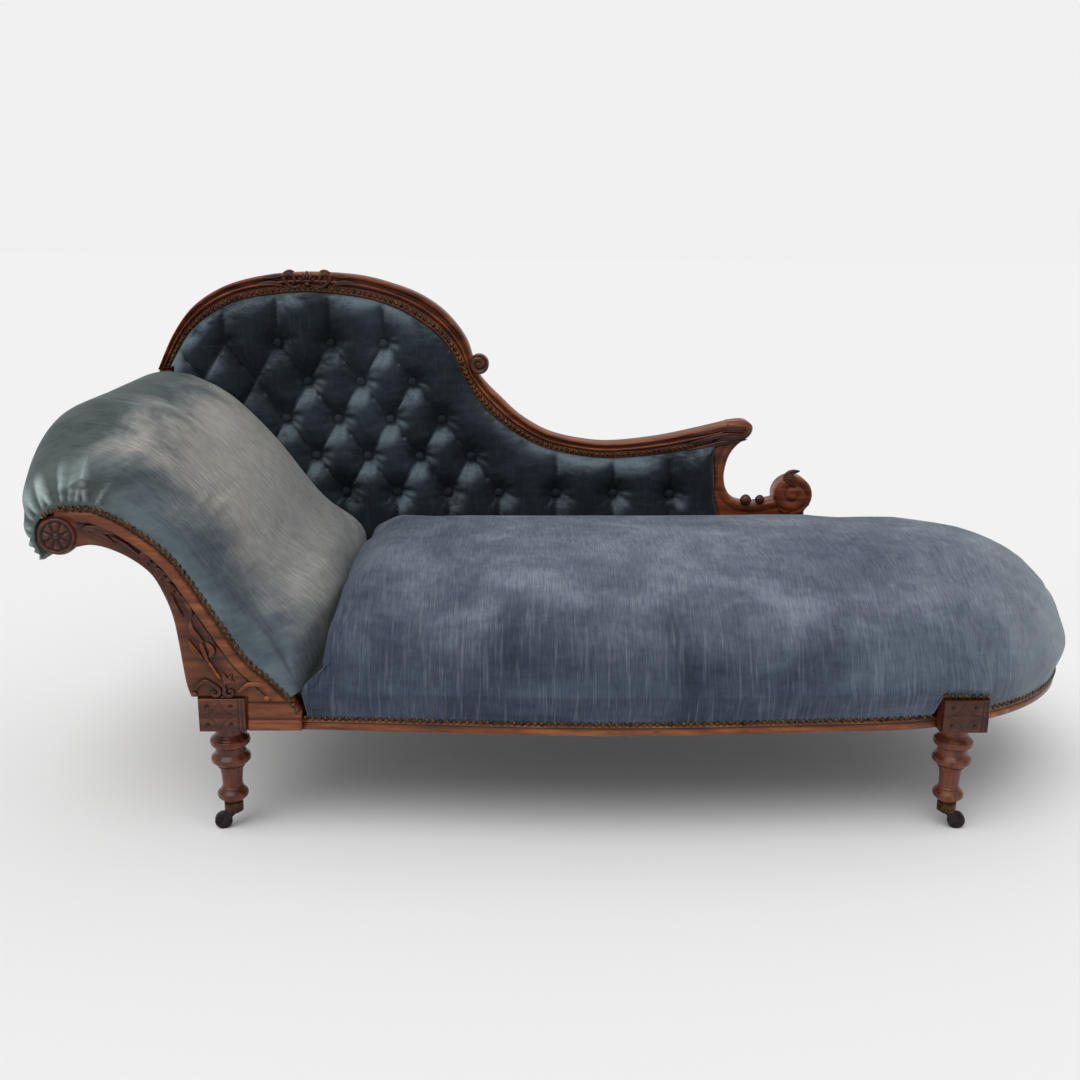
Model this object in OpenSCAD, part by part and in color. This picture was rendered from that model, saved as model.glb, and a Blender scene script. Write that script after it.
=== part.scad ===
/* [Overall] */
// Length over the head roll and the rounded foot of the seat
overall_len = 1852; // [1840:2:1980]
// Depth from the bow of the seat to the outside of the back
overall_depth = 765; // [740:1:800]
// Height of the crest of the back above the floor
overall_height = 897; // [860:1:940]
// Height of the top of the head roll above the floor
head_top = 698; // [680:1:715]
/* [Seat frame] */
// Height of the underside of the seat rails above the floor
rail_bottom = 193; // [186:1:200]
// Height of the seat rails
rail_h = 58; // [54:1:66]
// Thickness of the seat rails
rail_t = 35; // [30:1:40]
// Height of the show-wood bead along the bottom of the rails
bead_h = 20; // [16:1:26]
// How far the upholstered face of a rail sits behind its bead
rail_step = 8; // [6:0.5:10]
// Bow of the front rail, in plan
front_bow = 26; // [10:1:32]
// Length of the rounded foot of the seat frame
foot_round = 441; // [430:1:470]
// Distance of the head legs behind the toe of the facing
leg_toe_in = 128; // [120:1:136]
// Distance from the foot end of the couch to the foot legs
leg_foot_in = 294; // [288:1:310]
// Distance of the front legs behind the straight face of the front rail
leg_in = 35; // [30:1:40]
// Width of the square block at the top of a leg
block_w = 80; // [74:1:86]
// Depth of the square block at the top of a leg
block_d = 72; // [66:1:76]
// Thickness of the carved tablet over a front leg
tablet_t = 12; // [10:0.5:16]
// Width of the cross rail under the foot of the head end
cross_w = 40; // [34:1:50]
/* [Legs] */
// Height of the leg's end above the floor, where the castor begins
castor_h = 34; // [33.5:0.5:38]
// Radius of the top ring of a leg
ring_r = 33; // [28:0.5:35]
// Radius of the tapered shank below the second ring
shank_r = 19; // [17:0.5:21]
// Radius of the lower ring of a leg
low_ring_r = 25.5; // [23:0.5:28]
// Radius of the foot of a leg, inside the castor cup
foot_r = 13.5; // [12:0.5:14.5]
/* [Castors] */
// Radius of a castor wheel
wheel_r = 14.5; // [13.5:0.5:15]
// Width of a castor wheel
wheel_w = 12; // [10:0.5:14]
// Distance from the swivel pin to the wheel's axle
trail = 18; // [17.5:0.5:20]
// Radius of the castor axle
axle_r = 2.5; // [2:0.1:3]
// Radius of the swivel pin
pin_r = 3.2; // [2.6:0.1:3.6]
// Wall of the castor cup
cup_wall = 2.2; // [1.8:0.1:2.6]
// Height of the castor cup
cup_h = 16.5; // [14:0.5:17]
/* [Back frame] */
// Thickness of the back frame
back_t = 36; // [34:1:44]
// Height of the moulding in front of the back frame
mould_rise = 10; // [7:0.5:11]
// Radius of the small volute on the shoulder
volute_r = 20; // [17:0.5:20]
// Radius of the large scroll at the end of the back
scroll_r = 42; // [38:0.5:43]
/* [Head end] */
// Reach of the scrolled head end, from the roll to the toe of the facing
head_len = 466; // [460:1:472]
// Thickness of the scrolled boards at the head
facing_t = 36; // [32:1:40]
// How far the rim of the scroll eye lies inside the edge of the facing
eye_in = 2; // [1:0.5:5]
// How far the round rail inside the head roll lies inside the edge of its boards
roll_rail_in = 3; // [3:0.5:6]
/* [Upholstery] */
// How far the seat cover stands out beyond the rails
seat_bulge = 12; // [9:0.5:16]
// Height of the crown of the seat above the floor
seat_crown = 434; // [424:1:442]
// Fullness of the stuffed back in front of its nailed edge
back_puff = 38; // [34:1:40]
// Thickness of the stuffing at its nailed edges
edge_t = 8; // [6:0.5:9]
// Distance between buttons along a row
button_pitch = 108; // [100:1:116]
// Distance between the pleats of the low end of the back
arm_pitch = 121; // [112:1:126]
// Distance between rows of buttons
row_pitch = 78; // [74:1:82]
// Radius of an upholstered button
button_r = 9; // [8:0.5:11]
// Radius of a brass nail head
nail_r = 4.6; // [4:0.1:5]
// Distance between brass nails
nail_pitch = 11; // [10.5:0.5:14]
/* [Springs] */
// Radius of a seat spring at its ends
spring_r = 42; // [36:1:46]
// Radius of the spring wire
wire_r = 2; // [1.8:0.1:2.4]
// Turns in a seat spring
spring_turns = 4; // [3:1:5]
/* [Hidden] */
$fn = 48;
cut = 1;              // overrun of a cutting solid past the face it cuts
fit_gap = 0.3;        // between a soft solid and what carries it
run_gap = 0.05;       // radial clearance of a turning fit
cloth_t = 2;          // thickness of canvas, webbing and covering cloth
quarter = 90;         // degrees in a quarter turn
walnut = "#7a3e1f";
dark_walnut = "#4a2413";
beech = "#c9a06c";
velvet = "#56656f";
brass = "#8a6a33";
iron = "#2a2422";
hessian = "#b59a6d";

// Places worked out from the sizes
half_len = overall_len / 2;
half_depth = overall_depth / 2;
rail_top = rail_bottom + rail_h;
bead_top = rail_bottom + bead_h;
rear_out = 3;                                     // the cover has drawn in this much where the back ends
rear_y = half_depth - seat_bulge + rear_out;      // outer face of the back rail
side_y = front_bow + seat_bulge - half_depth;     // straight face of the front rail
mid_y = (rear_y + side_y) / 2;
half_w = (rear_y - side_y) / 2;
foot_x = half_len - seat_bulge;                   // outermost point of the foot rail
round_x = foot_x - foot_round;                    // where the rounded foot begins
toe_x = head_len - half_len;                      // where the facing meets the front rail
head_leg_x = toe_x - leg_toe_in;
foot_leg_x = half_len - leg_foot_in;
front_leg_y = side_y + leg_in;
back_leg_y = rear_y - block_d / 2;
crease_in = 35;
crease_x = toe_x + crease_in;                     // where the head slope meets the seat
back_y = rear_y - back_t;                         // front face of the back frame
back_rear = rear_y;
rabbet = 6;                                       // depth of the step that holds the stuffed back
pad_y = back_y + rabbet - fit_gap;                // rear plane of the stuffed back
pad_front = pad_y - edge_t - back_puff;           // foremost plane of the stuffed back
head_rear = pad_front - cloth_t;                  // rear end of the stuffed head
face_out = 5;
face_y = side_y - face_out;                       // front plane of the facing
head_h = head_top - rail_bottom;
back_in_head = 67;
back_in_foot = 403;
back_x0 = back_in_head - half_len;                // head end of the back frame
back_x1 = half_len - back_in_foot;                // foot end of the back frame
back_len = back_x1 - back_x0;
back_h = overall_height - rail_top;
corners = [[head_leg_x, front_leg_y], [foot_leg_x, front_leg_y], [head_leg_x, back_leg_y], [foot_leg_x, back_leg_y]];
castor_turns = [192, -12, 165, 20];               // way each castor trails, in degrees

// Curves and lofts
function mix(a, b, t) = a + (b - a) * t;
function bound(v, lo, hi) = min(max(v, lo), hi);
function unit(v) = v / max(norm(v), run_gap * run_gap);
function left_of(v) = [-v[1], v[0]];
function last(p) = p[len(p) - 1];
function curve_at(a, b, c, d, t) = 0.5 * (2 * b + (c - a) * t + (2 * a - 5 * b + 4 * c - d) * t * t
    + (3 * b - a - 3 * c + d) * t * t * t);
function spline(p, n) = [for (i = [0:len(p) - 2], k = [0:n - 1])
    curve_at(p[max(i - 1, 0)], p[i], p[i + 1], p[min(i + 2, len(p) - 1)], k / n), last(p)];
function heading(p, i) = unit(p[min(i + 1, len(p) - 1)] - p[max(i - 1, 0)]);
function shifted(p, d) = [for (i = [0:len(p) - 1]) p[i] + left_of(heading(p, i)) * d];
function blend(a, b, t) = [for (i = [0:len(a) - 1]) mix(a[i], b[i], t)];
function backwards(p) = [for (i = [0:len(p) - 1]) p[len(p) - 1 - i]];
function flatten(l) = [for (a = l, b = a) b];
function lengths(p) = [for (i = 0, s = 0; i < len(p); i = i + 1, s = i < len(p) ? s + norm(p[i] - p[i - 1]) : s) s];
// The place at distance s along p, as [point, heading]
function place(p, d, s) = let (i = max([for (k = [0:len(p) - 2]) d[k] <= s ? k : 0]),
    t = (s - d[i]) / max(d[i + 1] - d[i], run_gap)) [mix(p[i], p[i + 1], t), unit(p[i + 1] - p[i])];
// Evenly spaced places along p
function spaced(p, pitch) = let (d = lengths(p), n = floor(last(d) / pitch))
    [for (k = [0:n - 1]) place(p, d, (k + 0.5) * last(d) / n)];
function middle(p) = (min(p) + max(p)) / 2;
function ring_centre(r) = [for (k = [0:2]) middle([for (q = r) q[k]])];
// A closed solid through rings of equally many points. Its ends are flat, or fanned from their centres,
// or filled in strips, where each ring runs out along one side of a wall and back along the other
module loft(rings, fan = false, strip = false) {
    n = len(rings[0]);
    m = len(rings);
    function fanned(k, c) = [for (j = [0:n - 1]) [k + j, k + (j + 1) % n, c]];
    function stripped(k) = flatten([for (j = [0:n / 2 - 2])
        [[k + j, k + j + 1, k + n - 1 - j], [k + j + 1, k + n - 2 - j, k + n - 1 - j]]]);
    function turned(f) = [for (t = f) backwards(t)];
    ends = fan ? concat(fanned(0, m * n), turned(fanned((m - 1) * n, m * n + 1)))
        : strip ? concat(stripped(0), turned(stripped((m - 1) * n)))
        : [[for (j = [0:n - 1]) j], [for (j = [0:n - 1]) m * n - 1 - j]];
    polyhedron(concat(flatten(rings), fan ? [ring_centre(rings[0]), ring_centre(last(rings))] : []), concat(
        [for (i = [0:m - 2], j = [0:n - 1]) [i * n + j, (i + 1) * n + j, i * n + (j + 1) % n]],
        [for (i = [0:m - 2], j = [0:n - 1]) [i * n + (j + 1) % n, (i + 1) * n + j, (i + 1) * n + (j + 1) % n]],
        ends));
}
// An outline in the X-Z plane between two values of y
module board(y0, y1) {
    translate([0, y1, 0]) rotate([quarter, 0, 0]) linear_extrude(y1 - y0) children();
}

// Legs and castors
leg_top = rail_bottom;
shank_h = leg_top - castor_h;
// Heights of the turned rings, as shares of the height of the leg above its castor
leg_shares = [0, 0.1, 0.115, 0.14, 0.185, 0.23, 0.255, 0.28, 0.5, 0.535, 0.56, 0.6, 0.64, 0.665, 0.68, 0.73,
    0.745, 0.795, 0.85, 0.875, 0.89, 1];
leg_radii = [foot_r, foot_r, foot_r + 3, low_ring_r - 4, low_ring_r, low_ring_r - 4, foot_r + 4, foot_r + 3,
    shank_r, shank_r + 3, ring_r - 4, ring_r - 1, ring_r - 5, ring_r - 7, ring_r - 8, ring_r - 8,
    ring_r - 5, ring_r, ring_r - 5, ring_r - 8, shank_r + 4, shank_r + 4];
pin_depth = 24;       // how far the swivel pin reaches into the leg
cup_floor = 2;        // thickness of the castor cup's floor
cup_gap = 0.1;
module leg(i) {
    color(dark_walnut) translate([corners[i][0], corners[i][1], 0]) difference() {
        union() {
            rotate_extrude() polygon(concat([[0, castor_h]],
                [for (k = [0:len(leg_shares) - 1]) [leg_radii[k], castor_h + leg_shares[k] * shank_h]],
                [[0, leg_top]]));
            translate([-block_w / 2, -block_d / 2, leg_top]) cube([block_w, block_d, rail_h]);
        }
        translate([0, 0, castor_h - cut]) cylinder(h = pin_depth + 2 * cut, r = pin_r + run_gap);
    }
}
module castor_cup(i) {
    color(brass) translate([corners[i][0], corners[i][1], castor_h - cup_floor]) difference() {
        cylinder(h = cup_h, r = foot_r + cup_wall);
        translate([0, 0, cup_floor]) cylinder(h = cup_h, r = foot_r + cup_gap);
        translate([0, 0, -cut]) cylinder(h = cup_floor + 2 * cut, r = pin_r + run_gap);
    }
}
crown_t = 4;          // thickness of the fork's crown
crown_r = 9.8;
cheek_t = 2.6;
side_gap = 0.5;       // between the wheel and a cheek
eye_rim = 2.6;        // metal round the axle
fork_top = castor_h - cup_floor - fit_gap;
cheek_y = wheel_w / 2 + side_gap;
module castor_at(i) {
    translate([corners[i][0], corners[i][1], 0]) rotate([0, 0, castor_turns[i]]) children();
}
module castor_fork(i) {
    color(iron) castor_at(i) {
        translate([0, 0, fork_top - crown_t]) cylinder(h = crown_t, r = crown_r);
        translate([0, 0, fork_top - cut]) cylinder(h = pin_depth + cup_floor + cut, r = pin_r);
        for (s = [0, 1]) mirror([0, s, 0]) board(cheek_y, cheek_y + cheek_t) union() {
            polygon([[-axle_r, fork_top], [-axle_r, fork_top - crown_t], [trail - axle_r - eye_rim, wheel_r],
                [trail + axle_r + eye_rim, wheel_r], [trail - axle_r, fork_top - crown_t], [crown_r / 2, fork_top]]);
            translate([trail, wheel_r]) circle(axle_r + eye_rim);
        }
        translate([trail, cheek_y + cheek_t, wheel_r]) rotate([quarter, 0, 0])
            cylinder(h = 2 * (cheek_y + cheek_t), r = axle_r);
    }
}
tread = 1.2;          // rounding at the edges of a wheel
module castor_wheel(i) {
    color(iron) castor_at(i) translate([trail, 0, wheel_r]) rotate([quarter, 0, 0]) rotate_extrude()
        polygon([[axle_r + run_gap, -wheel_w / 2], [wheel_r - tread, -wheel_w / 2], [wheel_r, tread - wheel_w / 2],
            [wheel_r, wheel_w / 2 - tread], [wheel_r - tread, wheel_w / 2], [axle_r + run_gap, wheel_w / 2]]);
}

// Plan of the seat frame
bow_from = head_leg_x + block_w / 2;
bow_mid = (bow_from + foot_leg_x) / 2;
bow_half = (foot_leg_x - bow_from) / 2;
front_steps = 12;
foot_steps = 18;
arc_steps = 36;
function bow(x) = abs(x - bow_mid) < bow_half ? front_bow * pow(cos(quarter * (x - bow_mid) / bow_half), 2) : 0;
function front_at(x, inset) = [x, side_y + inset - bow(x)];
// A point of the rounded foot at angle a, from -90 at the front to 90 at the back
function foot_at(a, inset) = let (x = round_x + (foot_round - inset) * cos(a))
    [x, mid_y + (half_w - inset) * sin(a) - (a < 0 ? bow(x) : 0)];
function foot_angle(x, inset) = acos((x - round_x) / (foot_round - inset));
function front_run(x0, x1, inset) = [for (k = [0:front_steps]) front_at(mix(x0, x1, k / front_steps), inset)];
function foot_run(a0, a1, n, inset) = [for (k = [0:n]) foot_at(mix(a0, a1, k / n), inset)];
foot_block_x0 = foot_leg_x - block_w / 2;
foot_block_x1 = foot_leg_x + block_w / 2;
skirt_clear = 6;                                  // the cover's low skirt ends this far from a leg block
seat_step_x = back_x1 + skirt_clear;
near_block_a = foot_angle(foot_block_x0 - skirt_clear, 0);
past_block_a = foot_angle(foot_block_x1 + skirt_clear, 0);
// The rails, the seat cover and its nails share the corners of these lines
function bow_line(inset) = concat(front_run(toe_x, round_x, inset),
    [for (a = [(-quarter - near_block_a) / 2, -near_block_a]) foot_at(a, inset)]);
function end_line(inset) = foot_run(-past_block_a, past_block_a, foot_steps, inset);
function step_line(inset) = [foot_at(near_block_a, inset), foot_at(foot_angle(seat_step_x, 0), inset)];
function at_block(x, side, inset) = foot_at(side * foot_angle(x, inset), inset);
function front_line(inset) = concat([front_at(bow_from, inset)], bow_line(inset),
    [at_block(foot_block_x0, -1, inset)]);
function foot_line(inset) = concat([at_block(foot_block_x1, -1, inset)], end_line(inset),
    [at_block(foot_block_x1, 1, inset)]);
function back_line(inset) = concat([[bow_from, rear_y - inset], [round_x, rear_y - inset]],
    backwards(step_line(inset)), [at_block(foot_block_x0, 1, inset)]);
module rail(outer, face, inner) {
    translate([0, 0, rail_bottom]) linear_extrude(bead_h) polygon(concat(outer, backwards(inner)));
    translate([0, 0, bead_top]) linear_extrude(rail_h - bead_h) polygon(concat(face, backwards(inner)));
}
module front_seat_rail() {
    color(walnut) difference() {
        rail(front_line(0), front_line(rail_step), front_line(rail_t));
        translate([bow_from - cut, side_y - rail_t, rail_bottom - cut])
            cube([toe_x - bow_from + cut, face_y + facing_t - side_y + rail_t, rail_h + 2 * cut]);
    }
}
module back_seat_rail() {
    color(beech) rail(back_line(0), back_line(rail_step), back_line(rail_t));
}
module foot_seat_rail() {
    color(walnut) rail(foot_line(0), foot_line(rail_step), foot_line(rail_t));
}
module head_seat_rail() {
    color(beech) translate([head_leg_x - block_w / 2, front_leg_y + block_d / 2, rail_bottom])
        cube([rail_t, back_leg_y - front_leg_y - block_d, rail_h]);
}
cross_h = 22;
cross_y = side_y + rail_t - bow(toe_x - cross_w / 2);
module head_cross_rail() {
    color(beech) translate([toe_x - cross_w / 2, cross_y, rail_top - cross_h])
        cube([cross_w, rear_y - rail_t - cross_y, cross_h]);
}
brace_w = 44;
brace_t = 28;
brace_clear = 0.2;
brace_off = 1.5;                                  // clear of the rails' curved inner faces
brace_in = rail_t + brace_off;
brace_z = rail_top - brace_t - bead_h;
// Braces glued behind the head rail's ends, and where the long rails meet the foot blocks
module corner_braces() {
    head_face_x = head_leg_x - block_w / 2 + rail_t + brace_clear;
    foot_face_x = foot_block_x0 - brace_clear;
    color(beech) for (side = [-1, 1]) {
        block_y = side < 0 ? front_leg_y + block_d / 2 : back_leg_y - block_d / 2;
        translate([head_face_x, block_y - side * brace_clear, brace_z]) scale([1, -side, 1])
            linear_extrude(brace_t) polygon([[0, 0], [brace_w, 0], [0, brace_w]]);
        translate([0, 0, brace_z]) linear_extrude(brace_t) polygon([
            at_block(foot_face_x, side, brace_in), at_block(foot_face_x - brace_w, side, brace_in),
            [foot_face_x, block_y]]);
    }
}

// Side profiles of the head end, as shares of its reach and height, from under the roll to the toe
support_shares = [[0.164, 0.58], [0.143, 0.618], [0.138, 0.648], [0.143, 0.681], [0.162, 0.716], [0.2, 0.739],
    [0.248, 0.749], [0.291, 0.749], [0.349, 0.743], [0.46, 0.691], [0.595, 0.586], [0.711, 0.424],
    [0.819, 0.263], [0.894, 0.194], [0.939, 0.15], [0.969, 0.119]];
cushion_shares = [[0.17, 0.575], [0.09, 0.615], [0.022, 0.682], [0, 0.757], [0.022, 0.87], [0.085, 0.96],
    [0.186, 1], [0.271, 0.999], [0.355, 0.983], [0.51, 0.903], [0.703, 0.717], [0.882, 0.502],
    [1.02, 0.405], [1.074, 0.335], [1.074, 0.235], [1.074, 0.119]];
facing_low_shares = [[0.617, 0.119], [0.603, 0.17], [0.588, 0.295], [0.574, 0.384], [0.548, 0.459],
    [0.51, 0.525], [0.447, 0.574], [0.377, 0.606], [0.319, 0.618], [0.27, 0.612]];
eye_shares = [0.211, 0.65];
function head_pt(s) = [s[0] * head_len - half_len, rail_bottom + s[1] * head_h];
function head_path(shares) = [for (s = shares) head_pt(s)];
support = spline(head_path(support_shares), 2);
head_face = [for (q = spline(head_path(cushion_shares), 2)) [min(q[0], crease_x - 2 * fit_gap), q[1]]];
facing_low = spline(head_path(facing_low_shares), 2);
eye = head_pt(eye_shares);
eye_reach = eye[0] - min([for (q = support) q[0]]);
eye_r = eye_reach - eye_in;
roll_rail_r = eye_reach - roll_rail_in;
roll_points = 10;     // points of the support that go round the eye
toe_share = 0.067;
toe_h = toe_share * head_h;
facing_top = [for (i = [roll_points:len(support) - 1]) support[i]];
module scroll_outline() {
    polygon(concat(facing_top, [[last(facing_top)[0], rail_top], [facing_low[0][0], rail_top]], facing_low, [eye]));
    translate(eye) circle(eye_r);
}
module front_scroll_facing() {
    color(walnut) board(face_y, face_y + facing_t) {
        scroll_outline();
        polygon([last(facing_top), [toe_x, rail_bottom + toe_h], [toe_x, rail_bottom],
            [bow_from, rail_bottom], [bow_from, rail_top]]);
    }
}
rear_scroll_y = head_rear - cloth_t - facing_t;
module rear_scroll_frame() {
    color(beech) board(rear_scroll_y, rear_scroll_y + facing_t) scroll_outline();
}
module head_roll_rail() {
    color(beech) board(face_y + facing_t, rear_scroll_y) translate(eye) circle(roll_rail_r);
}
slat_t = 14;
slat_w = 28;
slat_shares = [0.34, 0.52, 0.7, 0.84];
under_canvas = 5;
module head_slats() {
    d = lengths(support);
    color(beech) for (s = slat_shares) {
        p = place(support, d, s * last(d));
        board(face_y + facing_t, rear_scroll_y) translate(p[0]) rotate(atan2(p[1][1], p[1][0]))
            translate([-slat_w / 2, -under_canvas - slat_t]) square([slat_w, slat_t]);
    }
}
module band(path, near, far, y0, y1) {
    board(y0, y1) polygon(concat(shifted(path, -near), backwards(shifted(path, -far))));
}
module head_canvas() {
    color(hessian) band(support, fit_gap, fit_gap + cloth_t, face_y + facing_t, rear_scroll_y);
}
module outside_head_cover() {
    color(velvet) band(facing_low, cloth_t / 2, cloth_t * 1.5, face_y + facing_t, rear_scroll_y);
}

// Back frame: paired inner and outer edges, as shares of the back's length and height
crest_in_shares = [[0.027, 0.698], [0.056, 0.796], [0.088, 0.851], [0.126, 0.893], [0.175, 0.913],
    [0.231, 0.923], [0.3, 0.91], [0.343, 0.889], [0.378, 0.854], [0.414, 0.802], [0.442, 0.734], [0.46, 0.666]];
crest_out_shares = [[0.005, 0.69], [0.031, 0.803], [0.064, 0.893], [0.111, 0.955], [0.168, 0.988],
    [0.233, 1], [0.305, 0.992], [0.356, 0.967], [0.399, 0.932], [0.437, 0.875], [0.467, 0.791], [0.48, 0.695]];
arm_in_shares = [[0.46, 0.666], [0.471, 0.621], [0.493, 0.557], [0.531, 0.492], [0.58, 0.437],
    [0.638, 0.409], [0.687, 0.401], [0.752, 0.41], [0.805, 0.427], [0.844, 0.444]];
arm_out_shares = [[0.48, 0.695], [0.496, 0.652], [0.516, 0.61], [0.549, 0.546], [0.593, 0.494],
    [0.645, 0.469], [0.692, 0.464], [0.759, 0.481], [0.82, 0.509], [0.866, 0.534]];
tip_shares = [[0.866, 0.534], [0.891, 0.539], [0.904, 0.522], [0.901, 0.491], [0.883, 0.46], [0.872, 0.43],
    [0.866, 0.392], [0.864, 0.35], [0.869, 0.307], [0.884, 0.272], [0.91, 0.262], [0.935, 0.272], [0.973, 0.29]];
stump_in_shares = [[0.856, 0.195], [0.85, 0.22], [0.84, 0.28], [0.84, 0.341], [0.842, 0.392], [0.835, 0.426],
    [0.844, 0.444]];
upright_left_shares = [[0.005, 0.69], [0, 0.6], [0.01, 0.48], [0.05, 0.38], [0.105, 0.29], [0.14, 0.2],
    [0.16, 0.1], [0.168, 0]];
upright_right_shares = [[0.027, 0.698], [0.03, 0.6], [0.042, 0.5], [0.085, 0.42], [0.14, 0.33], [0.178, 0.22],
    [0.196, 0.11], [0.205, 0]];
scroll_shares = [0.973, 0.29];
volute_shares = [0.485, 0.7176];
function back_pt(s) = [back_x0 + s[0] * back_len, rail_top + s[1] * back_h];
function back_path(shares) = [for (s = shares) back_pt(s)];
function back_x(share) = back_x0 + share * back_len;
crest_in = spline(back_path(crest_in_shares), 3);
crest_out = spline(back_path(crest_out_shares), 3);
arm_in = spline(back_path(arm_in_shares), 3);
arm_out = spline(back_path(arm_out_shares), 3);
land = 4;             // depth of the flat that carries the nails, in front of the frame
cove = 3;             // depth of the hollow between the two beads
edge_in = 2;          // the outer edge stands this far in front of the frame
// Section of the moulding, as [share of the width, depth behind the frame's front face]
moulding = [[0, rabbet], [0.2, rabbet], [0.2, -land], [0.54, -land], [0.58, -mould_rise], [0.65, -mould_rise],
    [0.7, -cove], [0.82, -cove], [0.87, -mould_rise], [0.95, -mould_rise], [1, -edge_in], [1, back_t], [0, back_t]];
module moulded_rail(inner, outer) {
    loft([for (i = [0:len(inner) - 1]) backwards([for (m = moulding)
        let (q = mix(inner[i], outer[i], m[0])) [q[0], back_y + m[1], q[1]]])]);
}
module back_crest_rail() {
    color(walnut) moulded_rail(crest_in, crest_out);
}
module back_arm_rail() {
    color(walnut) moulded_rail(arm_in, arm_out);
}
module back_head_upright() {
    color(walnut) board(back_y, back_rear)
        polygon(concat(back_path(upright_left_shares), backwards(back_path(upright_right_shares))));
}
volute_eye_share = 0.4;
volute_eye = volute_eye_share * volute_r;
volute_t = 6;         // thickness of the volute in front of the moulding
module shoulder_volute() {
    at = back_pt(volute_shares);
    front = back_y - mould_rise;
    color(dark_walnut) {
        board(front, back_rear) difference() {
            translate(at) circle(volute_r);
            polygon(concat(crest_out, arm_out, backwards(crest_in)));
        }
        board(front - volute_t, front) translate(at) circle(volute_r);
        board(front - volute_t - cloth_t, front - volute_t) translate(at) circle(volute_eye);
    }
}
stump_foot = back_x(stump_in_shares[0][0]);
stump_end = back_x1 - scroll_r / 4;
module stump_outline() {
    polygon(concat(spline(back_path(tip_shares), 3), [[stump_end, back_pt(scroll_shares)[1]], [stump_end, rail_top],
        [stump_foot, rail_top]], back_path(stump_in_shares)));
    translate(back_pt(scroll_shares)) circle(scroll_r);
}
ring_w = 7;           // width of the carved spiral of the large scroll
module back_end_stump() {
    color(walnut) difference() {
        union() {
            board(back_y - land, back_rear) stump_outline();
            board(back_y - mould_rise, back_y) translate(back_pt(scroll_shares)) {
                difference() {
                    circle(scroll_r);
                    circle(scroll_r - ring_w);
                }
                circle(scroll_r - 3 * ring_w);
            }
        }
        board(pad_front - cut, back_y + rabbet) polygon(pad_outline);
    }
}
bottom_rail_h = 40;
module back_bottom_rail() {
    low = last(upright_right_shares);
    next = upright_right_shares[len(upright_right_shares) - 2];
    color(beech) board(back_y + rabbet, back_rear) polygon([back_pt(low), [stump_foot, rail_top],
        [stump_foot, rail_top + bottom_rail_h], back_pt(mix(low, next, bottom_rail_h / back_h / next[1]))]);
}

// Stuffed back, with buttons on a slanting lattice and upright pleats below and beside it
pad_edge_share = 0.19;
pad_right_shares = [[0.846, 0.41], [0.849, 0.341], [0.849, 0.28], [0.858, 0.22], [0.864, 0.19], [0.864, 0.003]];
pad_left_shares = [[0.312, 0.003], [0.298, 0.076], [0.262, 0.184], [0.197, 0.324], [0.131, 0.478],
    [0.066, 0.587], [0.036, 0.633], [0.0335, 0.705]];
pad_line = concat(blend(crest_in, crest_out, pad_edge_share),
    [for (i = [1:len(arm_in) - 1]) mix(arm_in[i], arm_out[i], pad_edge_share)], back_path(pad_right_shares));
pad_outline = concat(pad_line, back_path(pad_left_shares));
first_button = back_pt([0.516, 0.297]);           // foot-end button of the lowest row
row_shift = 60;                                   // each row lies this much nearer the head
button_counts = [4, 4, 4, 3, 3];                  // buttons in each row, from the lowest
arm_buttons = 3;
cells = 4;                                        // cells of the grid from one button to the next
col_step = button_pitch / cells;
arm_step = arm_pitch / cells;
row_step = row_pitch / cells;
low_rows = 6;                                     // rows of the grid below the lowest buttons
low_step = (first_button[1] - rail_top) / low_rows;
left_cols = ceil((first_button[0] - back_x0) / col_step) + 1;
grid_end_share = 0.88;
right_cols = ceil((back_x(grid_end_share) - first_button[0]) / arm_step);
top_rows = ceil((overall_height - first_button[1]) / row_step);
pleat_floor_share = 0.42;                         // height left in a pleat
dimple_r = 24;                                    // reach of the hollow round a button
roll_w = 46;                                      // width of the rounded edge of the stuffing
function segment_dist(p, a, b) = norm(p - mix(a, b, bound((p - a) * (b - a) / ((b - a) * (b - a)), 0, 1)));
function edge_dist(p) = min([for (i = [0:3:len(pad_line) - 4]) segment_dist(p, pad_line[i], pad_line[i + 3])]);
function hump(t) = sqrt(abs(sin(2 * quarter * t)));
// Fullness at a point, from 0 in a button to 1 on a puff
function fullness(p) = let (u = p - first_button, k = u[1] / row_pitch, up = max(k, 0),
    s = (u[0] + row_shift * up) / button_pitch, side = u[0] / arm_pitch,
    h = s > 0 ? hump(side < 1 ? (u[0] + row_shift * up) / (arm_pitch + row_shift * up) : side)
        : (k < 0 ? hump(s) : hump(s) * hump(s - k)),
    r = max(round(k), 0), near = s > 0 && side > -1 / cells ? [round(side) * arm_pitch, 0]
        : [round(s - row_shift * (up - r) / button_pitch) * button_pitch - row_shift * r, r * row_pitch])
    (pleat_floor_share + (1 - pleat_floor_share) * h) * (1 - exp(-pow(norm(u - near) / dimple_r, 2)));
function pad_thick(p) = edge_t + back_puff * sqrt(1 - pow(1 - bound(edge_dist(p) / roll_w, 0, 1), 2)) * fullness(p);
function grid_z(j) = j < 0 ? first_button[1] + j * low_step : first_button[1] + j * row_step;
function grid_x(i, j) = first_button[0] + (i < 0 ? i * col_step : i * arm_step)
    - row_shift / cells * max(j, 0) * bound(1 - i / cells, 0, 1);
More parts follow.
